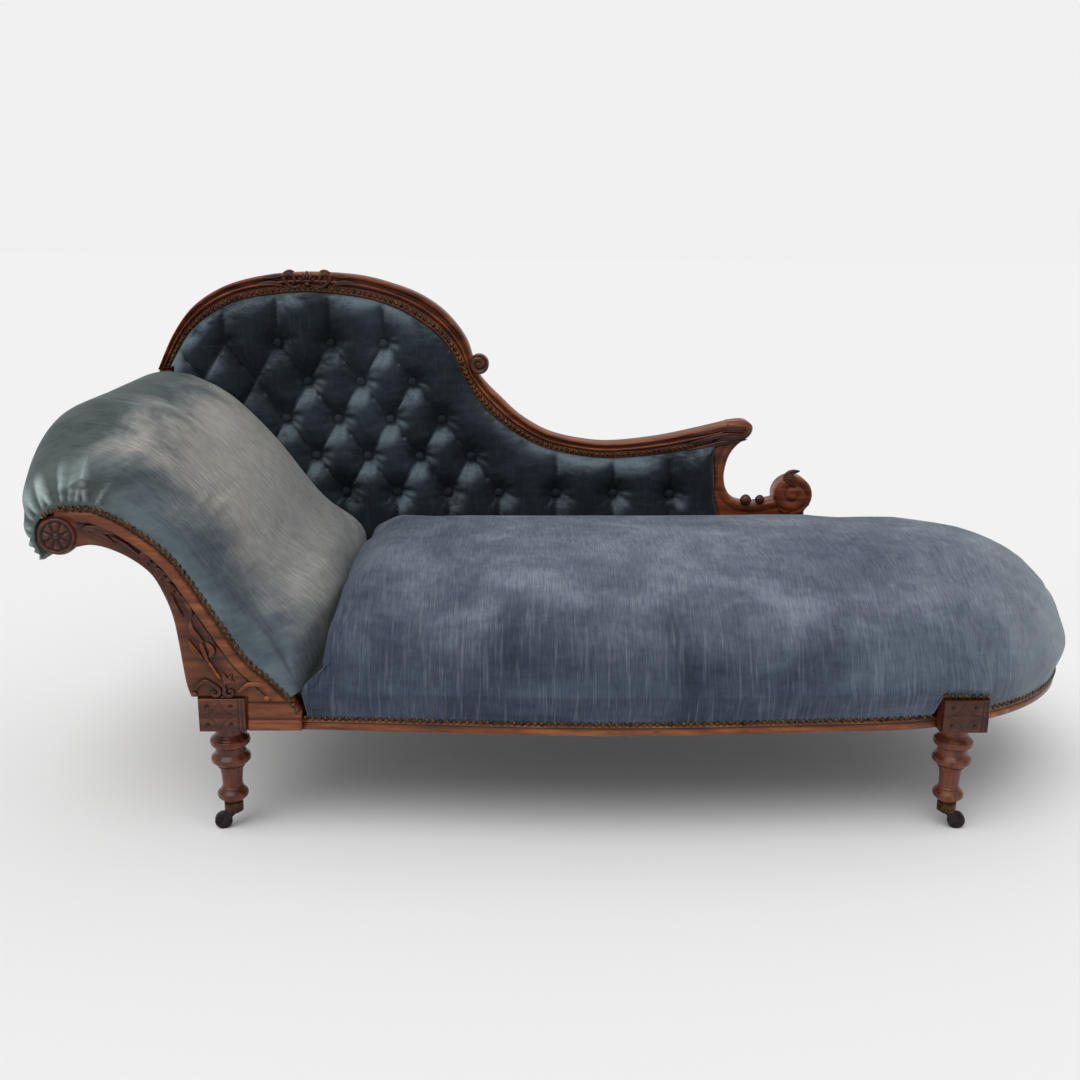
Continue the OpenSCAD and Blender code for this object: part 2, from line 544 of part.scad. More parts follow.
module pad_slab() {
    cols = left_cols + right_cols + 1;
    rows = low_rows + top_rows + 1;
    grid = [for (j = [-low_rows:top_rows], i = [-left_cols:right_cols])
        let (p = [grid_x(i, j), grid_z(j)]) [p[0], pad_y - pad_thick(p), p[1]]];
    border = concat([for (i = [0:cols - 1]) i], [for (j = [1:rows - 1]) j * cols + cols - 1],
        [for (i = [1:cols - 1]) rows * cols - 1 - i], [for (j = [1:rows - 2]) (rows - 1 - j) * cols]);
    n = len(grid);
    m = len(border);
    polyhedron(concat(grid, [for (b = border) [grid[b][0], pad_y, grid[b][2]]]), concat(
        [for (j = [0:rows - 2], i = [0:cols - 2]) [j * cols + i, (j + 1) * cols + i + 1, j * cols + i + 1]],
        [for (j = [0:rows - 2], i = [0:cols - 2]) [j * cols + i, (j + 1) * cols + i, (j + 1) * cols + i + 1]],
        [for (k = [0:m - 1]) [border[k], border[(k + 1) % m], n + (k + 1) % m, n + k]],
        [[for (k = [0:m - 1]) n + k]]));
}
pad_len = max([for (q = pad_outline) q[0]]) - min([for (q = pad_outline) q[0]]);
module back_pad() {
    color(velvet) resize([pad_len, 0, 0]) intersection() {
        pad_slab();
        board(pad_front - cut, pad_y + cut) polygon(pad_outline);
    }
}
buttons = concat([for (k = [0:len(button_counts) - 1], i = [0:button_counts[k] - 1])
    first_button + [-i * button_pitch - row_shift * k, row_pitch * k]],
    [for (i = [1:arm_buttons]) first_button + [i * arm_pitch, 0]]);
dome_share = 0.75;
// A low dome on a flat base, its axis along Z
module dome(r) {
    rotate_extrude() intersection() {
        translate([0, -dome_share * r]) circle(r * sqrt(1 + dome_share * dome_share));
        square(r);
    }
}
// A button stands on the cone of cover that it draws in
module back_buttons() {
    color(velvet) for (b = buttons) translate([b[0], pad_y - pad_thick(b) - fit_gap, b[1]]) rotate([quarter, 0, 0]) {
        cylinder(h = button_r, r1 = fit_gap, r2 = button_r);
        translate([0, 0, button_r]) dome(button_r);
    }
}
module back_canvas() {
    inner_line = concat(shifted(crest_in, -fit_gap), [for (i = [1:len(arm_in) - 2]) shifted(arm_in, -fit_gap)[i]]);
    low = rail_top + bottom_rail_h + fit_gap;
    color(hessian) board(back_y + rabbet, back_y + rabbet + cloth_t) polygon(concat(inner_line,
        back_path(stump_canvas_shares),
        [[back_x(last(stump_canvas_shares)[0]), low], [back_x(canvas_left_share), low]],
        [for (i = [2:len(pad_left_shares) - 1]) back_pt(pad_left_shares[i])]));
}
canvas_left_share = 0.304;
stump_canvas_shares = [[0.833, 0.426], [0.838, 0.392], [0.838, 0.341], [0.838, 0.28], [0.848, 0.22], [0.854, 0.195]];
outside_share = 0.4;  // the outside cover reaches this far across the frame
outside_low_shares = [[0.862, 0.4], [0.86, 0.26], [0.875, 0.18], [0.875, 0.01], [0.19, 0.01]];
module outside_back_cover() {
    upright = back_path(blend(upright_right_shares, upright_left_shares, outside_share));
    color(velvet) board(back_rear, back_rear + cloth_t) polygon(concat(blend(crest_in, crest_out, outside_share),
        [for (i = [1:len(arm_in) - 1]) mix(arm_in[i], arm_out[i], outside_share)],
        back_path(outside_low_shares), [for (i = [len(upright) - 2:-1:1]) upright[i]]));
}

// Seat cushion: columns round the plan, each [x, y, y over a leg block, over a block, free to bulge, front corner]
seat_back_y = pad_front - 2 * fit_gap;
block_front = front_leg_y - block_d / 2;
block_back = back_leg_y + block_d / 2;
block_over = 2;       // the cover passes this far over the sides of a leg block
seat_back_n = 8;
seat_head_n = 5;
function free_columns(line) = [for (q = line) [q[0], q[1], q[1], 0, 1, 0]];
function block_columns(side) = [for (x = [foot_block_x0 - block_over, foot_leg_x, foot_block_x1 + block_over])
    [x, at_block(x, side, 0)[1], side < 0 ? block_front : block_back, 1, 1, 0]];
function hard_column(x, y) = [x, y, y, 1, 0, 0];
// Where the skirt ends, the cover's edge steps up to the top of the rail
function step_column(x, y) = [x, y, y, 1, 1, 0];
bow_columns = free_columns(bow_line(0));
seat_columns = concat([[toe_x + fit_gap, front_at(toe_x, 0)[1], front_at(toe_x, 0)[1], 0, 1, 1]],
    [for (i = [1:len(bow_columns) - 1]) bow_columns[i]], block_columns(-1), free_columns(end_line(0)),
    backwards(block_columns(1)), free_columns(step_line(0)),
    [step_column(seat_step_x - cloth_t / 2, last(step_line(0))[1])],
    [for (k = [0:seat_back_n]) hard_column(mix(back_x1, crease_x, k / seat_back_n), seat_back_y)],
    [for (k = [1:seat_head_n - 1]) hard_column(crease_x, mix(seat_back_y, side_y, k / seat_head_n))],
    [step_column(crease_x + cloth_t / 2, front_at(crease_x, 0)[1])]);
spine_in = 120;       // from the crease to the spine of the cushion
spine_x0 = crease_x + spine_in;
foot_full_share = 0.78;   // below 1, the rounded foot is fuller than the front
spine_x1 = foot_x - foot_full_share * half_w;
stuffing_t = 90;      // depth of the stuffing over the springs
spring_top = seat_crown - stuffing_t;
head_wall = 40;       // thickness of the seat's stuffed end at the head
inner_clear = 6;
seat_dome = seat_crown - rail_top;
flat_h = 2 * nail_r + 1;   // upright edge of the cover that carries the nails
// Profile of the dome, as shares of half the width and of the height above the rails
dome_shares = [[0, 0.29], [0.05, 0.48], [0.14, 0.65], [0.28, 0.8], [0.46, 0.9], [0.68, 0.97], [0.93, 1]];
under_shares = [[0.94, 4], [0.5, 2], [0.16, 0]];
bulge_shares = [[-0.9, 0.02, 0.1], [-1, 0.13, 0.17]];
// Rings of the cushion, as [reach towards the middle, height, height over a block, reach past the head]
seat_rings = concat(
    [for (r = under_shares) let (z = spring_top + r[1] * fit_gap) [r[0] * half_w, z, z, head_wall]],
    [[rail_t + inner_clear, rail_top + fit_gap, rail_top + fit_gap, head_wall],
    [rail_step - 2 * fit_gap, rail_top + fit_gap, rail_top + fit_gap, 0],
    [rail_step - 3 * fit_gap, bead_top + fit_gap, rail_top + fit_gap, 0],
    [fit_gap, bead_top + fit_gap, rail_top + fit_gap, 0],
    [fit_gap / 2, bead_top + flat_h, rail_top + flat_h, 0]],
    [for (r = bulge_shares) [r[0] * seat_bulge, rail_top + r[1] * seat_dome, rail_top + r[2] * seat_dome, 0]],
    [for (r = dome_shares) [r[0] * half_w, rail_top + r[1] * seat_dome, rail_top + r[1] * seat_dome, 0]]);
// Towards the middle, the straight back edge widens to the line of the back rail
function widened(y) = y > mid_y ? mid_y + (y - mid_y) * half_w / (seat_back_y - mid_y) : y;
function seat_point(c, r) = let (hard = 1 - c[4], z = mix(r[1], r[2], c[3]),
    corner = c[5] * (crease_in + 2 * cloth_t) * bound((z - bead_top) / (rail_top - bead_top), 0, 1),
    x = r[3] > 0 ? max(c[0], crease_x + r[3]) : c[0] + corner,
    y = c[5] > 0 ? front_at(x, 0)[1]
        : mix(c[2], c[1], bound((z - rail_top - flat_h) / (dome_shares[0][1] * seat_dome - flat_h), 0, 1)),
    inward = max(r[0], 0), upper = inward < half_w / 2 && z > rail_top + flat_h,
    reach = hard > 0 && upper ? inward * inward / (inward + head_wall) : r[0],
    from = [x, hard > 0 && r[0] >= half_w / 2 ? widened(y) : y],
    spine = [bound(c[0], spine_x0 + r[3], spine_x1), mid_y],
    q = reach < rail_t ? from + unit(spine - from) * reach : mix(from, spine, reach / half_w)) [q[0], q[1], z];
module seat_cushion() {
    color(velvet) loft([for (r = seat_rings) [for (c = seat_columns) seat_point(c, r)]], true);
}
canvas_share = 0.17;  // the canvas lies this far inside the edge of the seat
canvas_in = canvas_share * half_w;
canvas_x0 = crease_x + head_wall + spring_r;
turn_share = 0.98;    // how far the canvas and the webbing follow the rounded foot
function foot_turn(inset) = [for (k = [0:arc_steps])
    foot_at(mix(-quarter, quarter, k / arc_steps) * turn_share, inset)];
module seat_canvas() {
    color(hessian) translate([0, 0, spring_top - fit_gap - cloth_t]) linear_extrude(cloth_t) intersection() {
        polygon(concat([[canvas_x0, side_y + canvas_in], [bow_mid, side_y + canvas_in]], foot_turn(canvas_in),
            [[canvas_x0, rear_y - canvas_in]]));
        translate([-half_len, side_y]) square([overall_len, mix(seat_back_y, mid_y, canvas_share) - side_y]);
    }
}
web_w = 50;
web_long = 4;         // webs that run along the couch
web_cross = 9;        // webs that run across it
web_lap = 20;         // how far a web lies on a rail
web_x0 = head_leg_x - block_w / 2 + rail_t - web_lap;
web_x1 = foot_x - rail_t + web_lap;
web_y0 = side_y + rail_t - web_lap;
web_y1 = rear_y - rail_t + web_lap;
spring_rows = 3;
spring_cols = 6;
last_row_share = 0.6; // the last springs draw in this much towards the middle
function web_at(a, b, k, n) = mix(a, b, (k + 0.5) / n);
module seat_webbing() {
    color(hessian) translate([0, 0, rail_bottom - cloth_t]) linear_extrude(cloth_t) difference() {
        intersection() {
            polygon(concat([[web_x0, web_y0]], foot_turn(rail_t - web_lap), [[web_x0, web_y1]]));
            union() {
                for (k = [0:web_long - 1]) translate([web_x0, web_at(web_y0, web_y1, k, web_long) - web_w / 2])
                    square([web_x1 - web_x0, web_w]);
                for (k = [0:web_cross - 1]) translate([web_at(web_x0, web_x1, k, web_cross) - web_w / 2, web_y0])
                    square([web_w, web_y1 - web_y0]);
            }
        }
        for (c = corners) translate(c) square([block_w, block_d], center = true);
    }
}
cloth_in = 12;
cloth_low = 1.5;
module bottom_cloth() {
    color(iron) translate([0, 0, rail_bottom - cloth_t - cloth_low]) linear_extrude(cloth_low) difference() {
        polygon(concat([[head_leg_x - block_w / 2 + cloth_in, side_y + cloth_in]],
            [for (k = [0:arc_steps]) foot_at(mix(-quarter, quarter, k / arc_steps), cloth_in)],
            [[head_leg_x - block_w / 2 + cloth_in, rear_y - cloth_in]]));
        for (c = corners) translate(c) square([block_w, block_d], center = true);
    }
}
coil_rings = 6;       // rings a turn
coil_sides = 4;
waist_share = 0.72;   // a spring narrows to this share at mid height
spring_x0 = crease_x + head_wall + spring_r + web_w;
spring_in = 144;      // from the foot end of the frame to the last springs
spring_x1 = foot_x - spring_in;
module spring() {
    n = spring_turns * coil_rings;
    z0 = rail_bottom + wire_r;
    z1 = spring_top - fit_gap - cloth_t - wire_r;
    loft(backwards([for (k = [0:n]) let (a = k / coil_rings * 4 * quarter, t = k / n,
        r = (spring_r - wire_r) * mix(waist_share, 1, pow(2 * t - 1, 2)),
        z = mix(z0, z1, t))
        [for (j = [0:coil_sides - 1]) let (b = -j / coil_sides * 4 * quarter)
            [(r + wire_r * cos(b)) * cos(a), (r + wire_r * cos(b)) * sin(a), z + wire_r * sin(b)]]]));
}
module seat_springs() {
    color(iron) for (i = [0:spring_cols - 1], j = [0:spring_rows - 1]) {
        x = mix(spring_x0, spring_x1, i / (spring_cols - 1));
        y = mix(side_y + rail_t + 2 * spring_r, seat_back_y - 2 * spring_r - inner_clear, j / (spring_rows - 1));
        translate([x, mix(y, mid_y, i == spring_cols - 1 ? last_row_share : 0), 0]) spring();
    }
}

// Stuffed head: full between the boards, drawn down to the nails at the front
head_ring_shares = [0, 0.02, 0.08, 0.2, 0.4, 0.68, 1];
head_roll_w = 260;    // width of the rounded front of the stuffed head
head_round = 0.7;     // below 1, the rounding is fuller
head_edge = 7;        // thickness of the stuffing at the facing's edge
head_mid_n = 2;
rear_fill_share = 0.93;
function head_fill(t) = pow(1 - pow(1 - t, 2), head_round);
function head_ring(y, t) = concat([for (q = blend(shifted(support, head_edge), head_face, t)) [q[0], y, q[1]]],
    [for (q = backwards(shifted(support, fit_gap))) [q[0], y, q[1]]]);
module headrest_cushion() {
    color(velvet) loft(concat(
        [for (t = head_ring_shares) head_ring(face_y + t * head_roll_w, head_fill(t))],
        [for (k = [1:head_mid_n]) head_ring(mix(face_y + head_roll_w, head_rear - head_edge, k / head_mid_n), 1)],
        [head_ring(head_rear, rear_fill_share)]), false, true);
}

// Brass nails
nail_gap = 0.1;       // under a nail head
module rail_nails(path, z) {
    for (q = spaced(path, nail_pitch)) translate([q[0][0], q[0][1], z]) rotate([0, 0, atan2(-q[1][0], q[1][1])])
        translate([nail_gap, 0, 0]) rotate([0, quarter, 0]) dome(nail_r);
}
module seat_nails() {
    color(brass) {
        rail_nails(bow_line(0), bead_top);
        rail_nails([[foot_block_x0, block_front], [foot_block_x1, block_front]], rail_top + nail_r);
        rail_nails(end_line(0), bead_top);
        rail_nails(step_line(0), bead_top);
    }
}
first_nail_i = 8;     // point of the support where the nails begin
facing_nail_line = shifted(concat([for (i = [first_nail_i:len(support) - 1]) support[i]],
    [[toe_x, rail_bottom + toe_h]]), -nail_r);
module facing_nails() {
    color(brass) for (q = spaced(facing_nail_line, nail_pitch)) translate([q[0][0], face_y, q[0][1]])
        rotate([quarter, 0, 0]) dome(nail_r);
}
nail_share = 0.37;
back_nail_line = concat([for (i = [1:len(crest_in) - 1]) mix(crest_in[i], crest_out[i], nail_share)],
    [for (i = [1:len(arm_in) - 1]) mix(arm_in[i], arm_out[i], nail_share)]);
module back_nails() {
    color(brass) for (q = spaced(back_nail_line, nail_pitch)) translate([q[0][0], back_y - land, q[0][1]])
        rotate([quarter, 0, 0]) dome(nail_r);
}

// Carving
leaf_t = 5;
leaf_shares = [[0, 0], [0.3, 0.5], [0.65, 0.4], [1, 0], [0.65, -0.4], [0.3, -0.5], [0, 0]];
module leaf(l, w) {
    linear_extrude(leaf_t) polygon(spline([for (s = leaf_shares) [s[0] * l, s[1] * w]], 3));
}
module on_front(y, p, turn) {
    translate([p[0], y, p[1]]) rotate([quarter, 0, 0]) rotate([0, 0, turn]) children();
}
curl_hole_share = 0.6;
curl_eye_share = 0.3;
module curl(r) {
    linear_extrude(leaf_t) difference() {
        circle(r);
        circle(r * curl_hole_share);
    }
    cylinder(h = leaf_t, r = r * curl_eye_share);
}
rosette_h = 10;
// Section of the rosette inside its rim, as shares of the eye's radius and of its height
rosette_shares = [[0.8, 0.8], [0.6, 0.45], [0.4, 0.5], [0.2, 1], [0, 1]];
module facing_eye() {
    color(dark_walnut) on_front(face_y, eye, 0) rotate_extrude() polygon(concat([[0, 0], [eye_r - cloth_t, 0],
        [eye_r - cloth_t, rosette_h / 2]], [for (s = rosette_shares) [s[0] * eye_r, s[1] * rosette_h]]));
}
husk_l = 34;
husk_w = 22;
husk_shares = [[0.36, 0.68, -15], [0.44, 0.64, -35], [0.5, 0.59, -50], [0.56, 0.52, -60], [0.61, 0.44, -66],
    [0.655, 0.36, -72]];
module facing_husks() {
    color(dark_walnut) for (h = husk_shares) on_front(face_y, head_pt(h), h[2]) leaf(husk_l, husk_w);
}
knee_r = 17;
module knee_scrolls() {
    color(dark_walnut) for (s = [-1, 1])
        on_front(face_y, [head_leg_x + s * (knee_r + leaf_t), rail_top + knee_r], 0) curl(knee_r);
}
star_w = 50;
star_h = 40;
star_rise = 3;
dot_r = 3;
star_waist_share = 0.5;
dot_shares = [0.5, 0.42];
tablet_gap = 0.5;
module tablet(x) {
    color(walnut) translate([x, block_front, rail_bottom + rail_h / 2]) rotate([quarter, 0, 0]) {
        translate([-block_w / 2 + cloth_t, -rail_h / 2 + tablet_gap, 0])
            cube([block_w - 2 * cloth_t, rail_h - 2 * tablet_gap, tablet_t - star_rise]);
        linear_extrude(tablet_t) polygon([for (k = [0:15]) let (a = k * quarter / 4,
            r = k % 2 == 0 ? 1 : star_waist_share) [star_w / 2 * r * cos(a), star_h / 2 * r * sin(a)]]);
        for (u = [-1, 1], v = [-1, 1])
            translate([u * star_w * dot_shares[0], v * star_h * dot_shares[1], tablet_t - star_rise])
                cylinder(h = star_rise / 2, r = dot_r);
    }
}
module tablet_head() { tablet(head_leg_x); }
module tablet_foot() { tablet(foot_leg_x); }
crest_leaf_l = 50;
crest_leaf_w = 22;
carve_share = 0.77;   // the carving lies this far across the frame
crest_mid = blend(crest_in, crest_out, carve_share);
crest_heights = [for (q = crest_mid) q[1]];
crest_top_i = max([for (i = [0:len(crest_mid) - 1]) crest_heights[i] == max(crest_heights) ? i : 0]);
module crest_carving() {
    color(dark_walnut) {
        for (s = [-1, 1], k = [1:3]) {
            way = heading(crest_mid, crest_top_i + s * 2 * k) * s;
            on_front(back_y - mould_rise, crest_mid[crest_top_i + s * (2 * k - 1)], atan2(way[1], way[0]))
                leaf(crest_leaf_l, crest_leaf_w);
        }
        on_front(back_y - mould_rise, crest_mid[crest_top_i], 0) curl(crest_leaf_w / 2);
    }
}
arm_leaf_shares = [[0.8, 0.465, 8], [0.835, 0.478, 14], [0.865, 0.497, 10]];
module arm_end_leaf() {
    color(dark_walnut) for (c = arm_leaf_shares) on_front(back_y - mould_rise, back_pt(c), c[2])
        leaf(crest_leaf_l, crest_leaf_w);
}
lump_r = 12;
lump_shares = [[0.897, 0.271], [0.922, 0.272]];
module end_scroll_leaves() {
    color(dark_walnut) board(back_y, back_rear) difference() {
        for (c = lump_shares) translate(back_pt(c)) circle(lump_r);
        stump_outline();
    }
}

leg(0);  // leg_front_head
leg(1);  // leg_front_foot
leg(2);  // leg_back_head
leg(3);  // leg_back_foot
castor_cup(0);  // castor_cup_front_head
castor_cup(1);  // castor_cup_front_foot
castor_cup(2);  // castor_cup_back_head
castor_cup(3);  // castor_cup_back_foot
castor_fork(0);  // castor_fork_front_head
castor_fork(1);  // castor_fork_front_foot
castor_fork(2);  // castor_fork_back_head
castor_fork(3);  // castor_fork_back_foot
castor_wheel(0);  // castor_wheel_front_head
castor_wheel(1);  // castor_wheel_front_foot
castor_wheel(2);  // castor_wheel_back_head
castor_wheel(3);  // castor_wheel_back_foot
front_seat_rail();
back_seat_rail();
head_seat_rail();
foot_seat_rail();
head_cross_rail();
corner_braces();
front_scroll_facing();
rear_scroll_frame();
head_roll_rail();
head_slats();
back_head_upright();
back_crest_rail();
shoulder_volute();
back_arm_rail();
back_end_stump();
back_bottom_rail();
facing_eye();
facing_husks();
knee_scrolls();
tablet_head();
tablet_foot();
crest_carving();
arm_end_leaf();
end_scroll_leaves();
seat_webbing();
seat_springs();
seat_canvas();
seat_cushion();
head_canvas();
headrest_cushion();
outside_head_cover();
back_canvas();
back_pad();
back_buttons();
outside_back_cover();
bottom_cloth();
seat_nails();
facing_nails();
back_nails();
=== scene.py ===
# Fainting couch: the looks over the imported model
import math

import bmesh
import bpy
import numpy as np
from mathutils import Matrix, Vector
from mathutils.geometry import delaunay_2d_cdt


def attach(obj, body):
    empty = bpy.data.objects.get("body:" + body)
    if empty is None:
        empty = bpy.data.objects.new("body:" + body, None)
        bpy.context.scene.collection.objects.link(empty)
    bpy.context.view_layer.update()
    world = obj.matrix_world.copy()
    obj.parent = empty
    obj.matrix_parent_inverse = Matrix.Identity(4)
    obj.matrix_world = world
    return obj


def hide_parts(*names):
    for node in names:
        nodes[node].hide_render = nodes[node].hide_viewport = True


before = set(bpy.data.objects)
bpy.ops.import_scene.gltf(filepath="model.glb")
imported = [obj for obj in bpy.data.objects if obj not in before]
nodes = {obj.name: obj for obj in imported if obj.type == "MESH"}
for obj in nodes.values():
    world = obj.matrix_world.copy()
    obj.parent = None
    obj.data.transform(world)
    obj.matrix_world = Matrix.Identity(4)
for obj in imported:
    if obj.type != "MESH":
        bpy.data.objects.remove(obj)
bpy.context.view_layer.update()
scene = bpy.context.scene

# Places shared with the solid model, in metres
couch = {
    "halfLength": 0.926,
    "sideY": -0.3445,        # straight face of the front rail
    "rearY": 0.3735,         # outer face of the back frame
    "railBottom": 0.193,
    "beadTop": 0.213,
    "railTop": 0.251,
    "railThickness": 0.035,
    "railStep": 0.008,
    "frontBow": 0.026,
    "footRound": 0.441,
    "seatBulge": 0.012,
    "seatCrown": 0.434,
    "springTop": 0.344,
    "headLegX": -0.588,
    "footLegX": 0.632,
    "frontLegY": -0.3095,
    "backLegY": 0.3375,
    "blockWidth": 0.080,
    "blockDepth": 0.072,
    "toeX": -0.460,
    "creaseX": -0.425,
    "headLength": 0.466,
    "headHeight": 0.505,
    "faceY": -0.3495,        # front plane of the carved facing
    "facingThickness": 0.036,
    "headRear": 0.2952,
    "backX0": -0.859,
    "backX1": 0.523,
    "backHeight": 0.646,
    "backY": 0.3375,         # front face of the back frame
    "padY": 0.3432,
    "seatBackY": 0.2966,
    "nailRadius": 0.0046,
    "nailPitch": 0.011,
}
midY = (couch["rearY"] + couch["sideY"]) / 2
halfWidth = (couch["rearY"] - couch["sideY"]) / 2
footX = couch["halfLength"] - couch["seatBulge"]
roundX = footX - couch["footRound"]
blockFront = couch["frontLegY"] - couch["blockDepth"] / 2
backLength = couch["backX1"] - couch["backX0"]
hair = 0.0003                # gap between a cover and what carries it

# Side profiles of the head end, as shares of its reach and height
supportShares = [(0.164, 0.58), (0.143, 0.618), (0.138, 0.648), (0.143, 0.681), (0.162, 0.716), (0.2, 0.739),
    (0.248, 0.749), (0.291, 0.749), (0.349, 0.743), (0.46, 0.691), (0.595, 0.586), (0.711, 0.424),
    (0.819, 0.263), (0.894, 0.194), (0.939, 0.15), (0.969, 0.119)]
rollShares = [(0.17, 0.575), (0.09, 0.615), (0.022, 0.682), (0, 0.757), (0.022, 0.87), (0.085, 0.96),
    (0.186, 1), (0.271, 0.999), (0.355, 0.983), (0.51, 0.903), (0.703, 0.717), (0.882, 0.502),
    (1.02, 0.405), (1.074, 0.335), (1.074, 0.235), (1.074, 0.119)]
underShares = [(0.617, 0.119), (0.603, 0.17), (0.588, 0.295), (0.574, 0.384), (0.548, 0.459),
    (0.51, 0.525), (0.447, 0.574), (0.377, 0.606), (0.319, 0.618), (0.27, 0.612)]
eyeShares = (0.211, 0.65)

# Edges of the back frame, as shares of the back's length and height
crestInShares = [(0.027, 0.698), (0.056, 0.796), (0.088, 0.851), (0.126, 0.893), (0.175, 0.913),
    (0.231, 0.923), (0.3, 0.91), (0.343, 0.889), (0.378, 0.854), (0.414, 0.802), (0.442, 0.734),
    (0.46, 0.666)]
crestOutShares = [(0.005, 0.69), (0.031, 0.803), (0.064, 0.893), (0.111, 0.955), (0.168, 0.988),
    (0.233, 1), (0.305, 0.992), (0.356, 0.967), (0.399, 0.932), (0.437, 0.875), (0.467, 0.791), (0.48, 0.695)]
armInShares = [(0.46, 0.666), (0.471, 0.621), (0.493, 0.557), (0.531, 0.492), (0.58, 0.437),
    (0.638, 0.409), (0.687, 0.401), (0.752, 0.41), (0.805, 0.427), (0.844, 0.444)]
armOutShares = [(0.48, 0.695), (0.496, 0.652), (0.516, 0.61), (0.549, 0.546), (0.593, 0.494),
    (0.645, 0.469), (0.692, 0.464), (0.759, 0.481), (0.82, 0.509), (0.866, 0.534)]
tipShares = [(0.866, 0.534), (0.891, 0.539), (0.904, 0.522), (0.901, 0.491), (0.883, 0.46), (0.872, 0.43),
    (0.866, 0.392), (0.864, 0.35), (0.869, 0.307), (0.884, 0.272), (0.91, 0.262), (0.935, 0.272),
    (0.973, 0.29)]
uprightLeftShares = [(0.005, 0.69), (0, 0.6), (0.01, 0.48), (0.05, 0.38), (0.105, 0.29), (0.14, 0.2),
    (0.16, 0.1), (0.168, 0)]
uprightRightShares = [(0.027, 0.698), (0.03, 0.6), (0.042, 0.5), (0.085, 0.42), (0.14, 0.33), (0.178, 0.22),
    (0.196, 0.11), (0.205, 0)]
padRightShares = [(0.846, 0.41), (0.849, 0.341), (0.849, 0.28), (0.858, 0.22), (0.864, 0.19), (0.864, 0.003)]
padLeftShares = [(0.312, 0.003), (0.298, 0.076), (0.262, 0.184), (0.197, 0.324), (0.131, 0.478),
    (0.066, 0.587), (0.036, 0.633), (0.0335, 0.705)]
scrollShares = (0.973, 0.29)
voluteShares = (0.485, 0.7176)


# Lines in a plane
def headPoint(share):
    return (share[0] * couch["headLength"] - couch["halfLength"],
            couch["railBottom"] + share[1] * couch["headHeight"])


def backPoint(share):
    return (couch["backX0"] + share[0] * backLength, couch["railTop"] + share[1] * couch["backHeight"])


def backLine(shares):
    return np.array([backPoint(s) for s in shares])


def smoothLine(points, steps):
    p = np.array(points, float)
    out = []
    for i in range(len(p) - 1):
        a, b, c, d = p[max(i - 1, 0)], p[i], p[i + 1], p[min(i + 2, len(p) - 1)]
        for k in range(steps):
            t = k / steps
            out.append(0.5 * (2 * b + (c - a) * t + (2 * a - 5 * b + 4 * c - d) * t * t
                              + (3 * b - a - 3 * c + d) * t ** 3))
    out.append(p[-1])
    return np.array(out)


def lengthAlong(line):
    steps = np.linalg.norm(np.diff(line, axis=0), axis=1)
    return np.concatenate([[0], np.cumsum(steps)])


def pointsAt(line, at, along=None):
    along = lengthAlong(line) if along is None else along
    return np.stack([np.interp(at, along, line[:, k]) for k in range(line.shape[1])], axis=1)


def evenLine(line, count):
    return pointsAt(line, np.linspace(0, lengthAlong(line)[-1], count))


def outward(line):
    heading = np.gradient(line, axis=0)
    heading /= np.maximum(np.linalg.norm(heading, axis=1, keepdims=True), 1e-9)
    return np.stack([-heading[:, 1], heading[:, 0]], axis=1)


def shifted(line, distance):
    return line + outward(line) * distance


def arc(centre, radius, start, end, count):
    angles = np.radians(np.linspace(start, end, count))
    return np.stack([centre[0] + radius * np.cos(angles), centre[1] + radius * np.sin(angles)], axis=1)


def distanceTo(points, line):
    a, b = line[:-1], line[1:]
    along = b - a
    size = np.maximum((along ** 2).sum(axis=1), 1e-12)
    best = np.full(len(points), 1e9)
    for i in range(len(a)):
        t = np.clip(((points - a[i]) @ along[i]) / size[i], 0, 1)
        away = points - a[i] - t[:, None] * along[i]
        best = np.minimum(best, np.hypot(away[:, 0], away[:, 1]))
    return best


def isInside(points, outline):
    x, y = points.T
    inside = np.zeros(len(points), bool)
    for (ax, ay), (bx, by) in zip(outline, np.roll(outline, -1, axis=0)):
        if ay != by:
            inside ^= ((ay > y) != (by > y)) & (x < (bx - ax) * (y - ay) / (by - ay) + ax)
    return inside


def smoothStep(value, low, high):
    t = np.clip((value - low) / (high - low), 0, 1)
    return t * t * (3 - 2 * t)


def bead(distance, centre, halfSize):
    return np.sqrt(np.clip(1 - ((distance - centre) / halfSize) ** 2, 0, 1))


def peak(x, at, width):
    return np.exp(-((x - at) / width) ** 2)


# Materials
def linear(hexColour):
    channels = [int(hexColour[i:i + 2], 16) / 255 for i in (1, 3, 5)]
    return [c / 12.92 if c <= 0.04045 else ((c + 0.055) / 1.055) ** 2.4 for c in channels] + [1.0]


def addNode(tree, kind, inputs=None, **properties):
    node = tree.nodes.new(kind)
    for name, value in properties.items():
        setattr(node, name, value)
    for name, value in (inputs or {}).items():
        if isinstance(value, bpy.types.NodeSocket):
            tree.links.new(value, node.inputs[name])
        else:
            node.inputs[name].default_value = value
    return node


def outOf(tree, kind, inputs=None, **properties):
    return addNode(tree, kind, inputs, **properties).outputs[0]


def newMaterial(name, values):
    material = bpy.data.materials.new(name)
    material.use_nodes = True
    tree = material.node_tree
    shader = tree.nodes["Principled BSDF"]
    for socket, value in values.items():
        shader.inputs[socket].default_value = value
    return material, tree, shader


def objectPlace(tree, scale=(1, 1, 1)):
    place = addNode(tree, "ShaderNodeTexCoord").outputs["Object"]
    return outOf(tree, "ShaderNodeMapping", {"Vector": place, "Scale": scale})


def noise(tree, place, scale, detail=4.0, roughness=0.5, distortion=0.0):
    return addNode(tree, "ShaderNodeTexNoise", {"Vector": place, "Scale": scale, "Detail": detail,
        "Roughness": roughness, "Distortion": distortion}).outputs["Fac"]


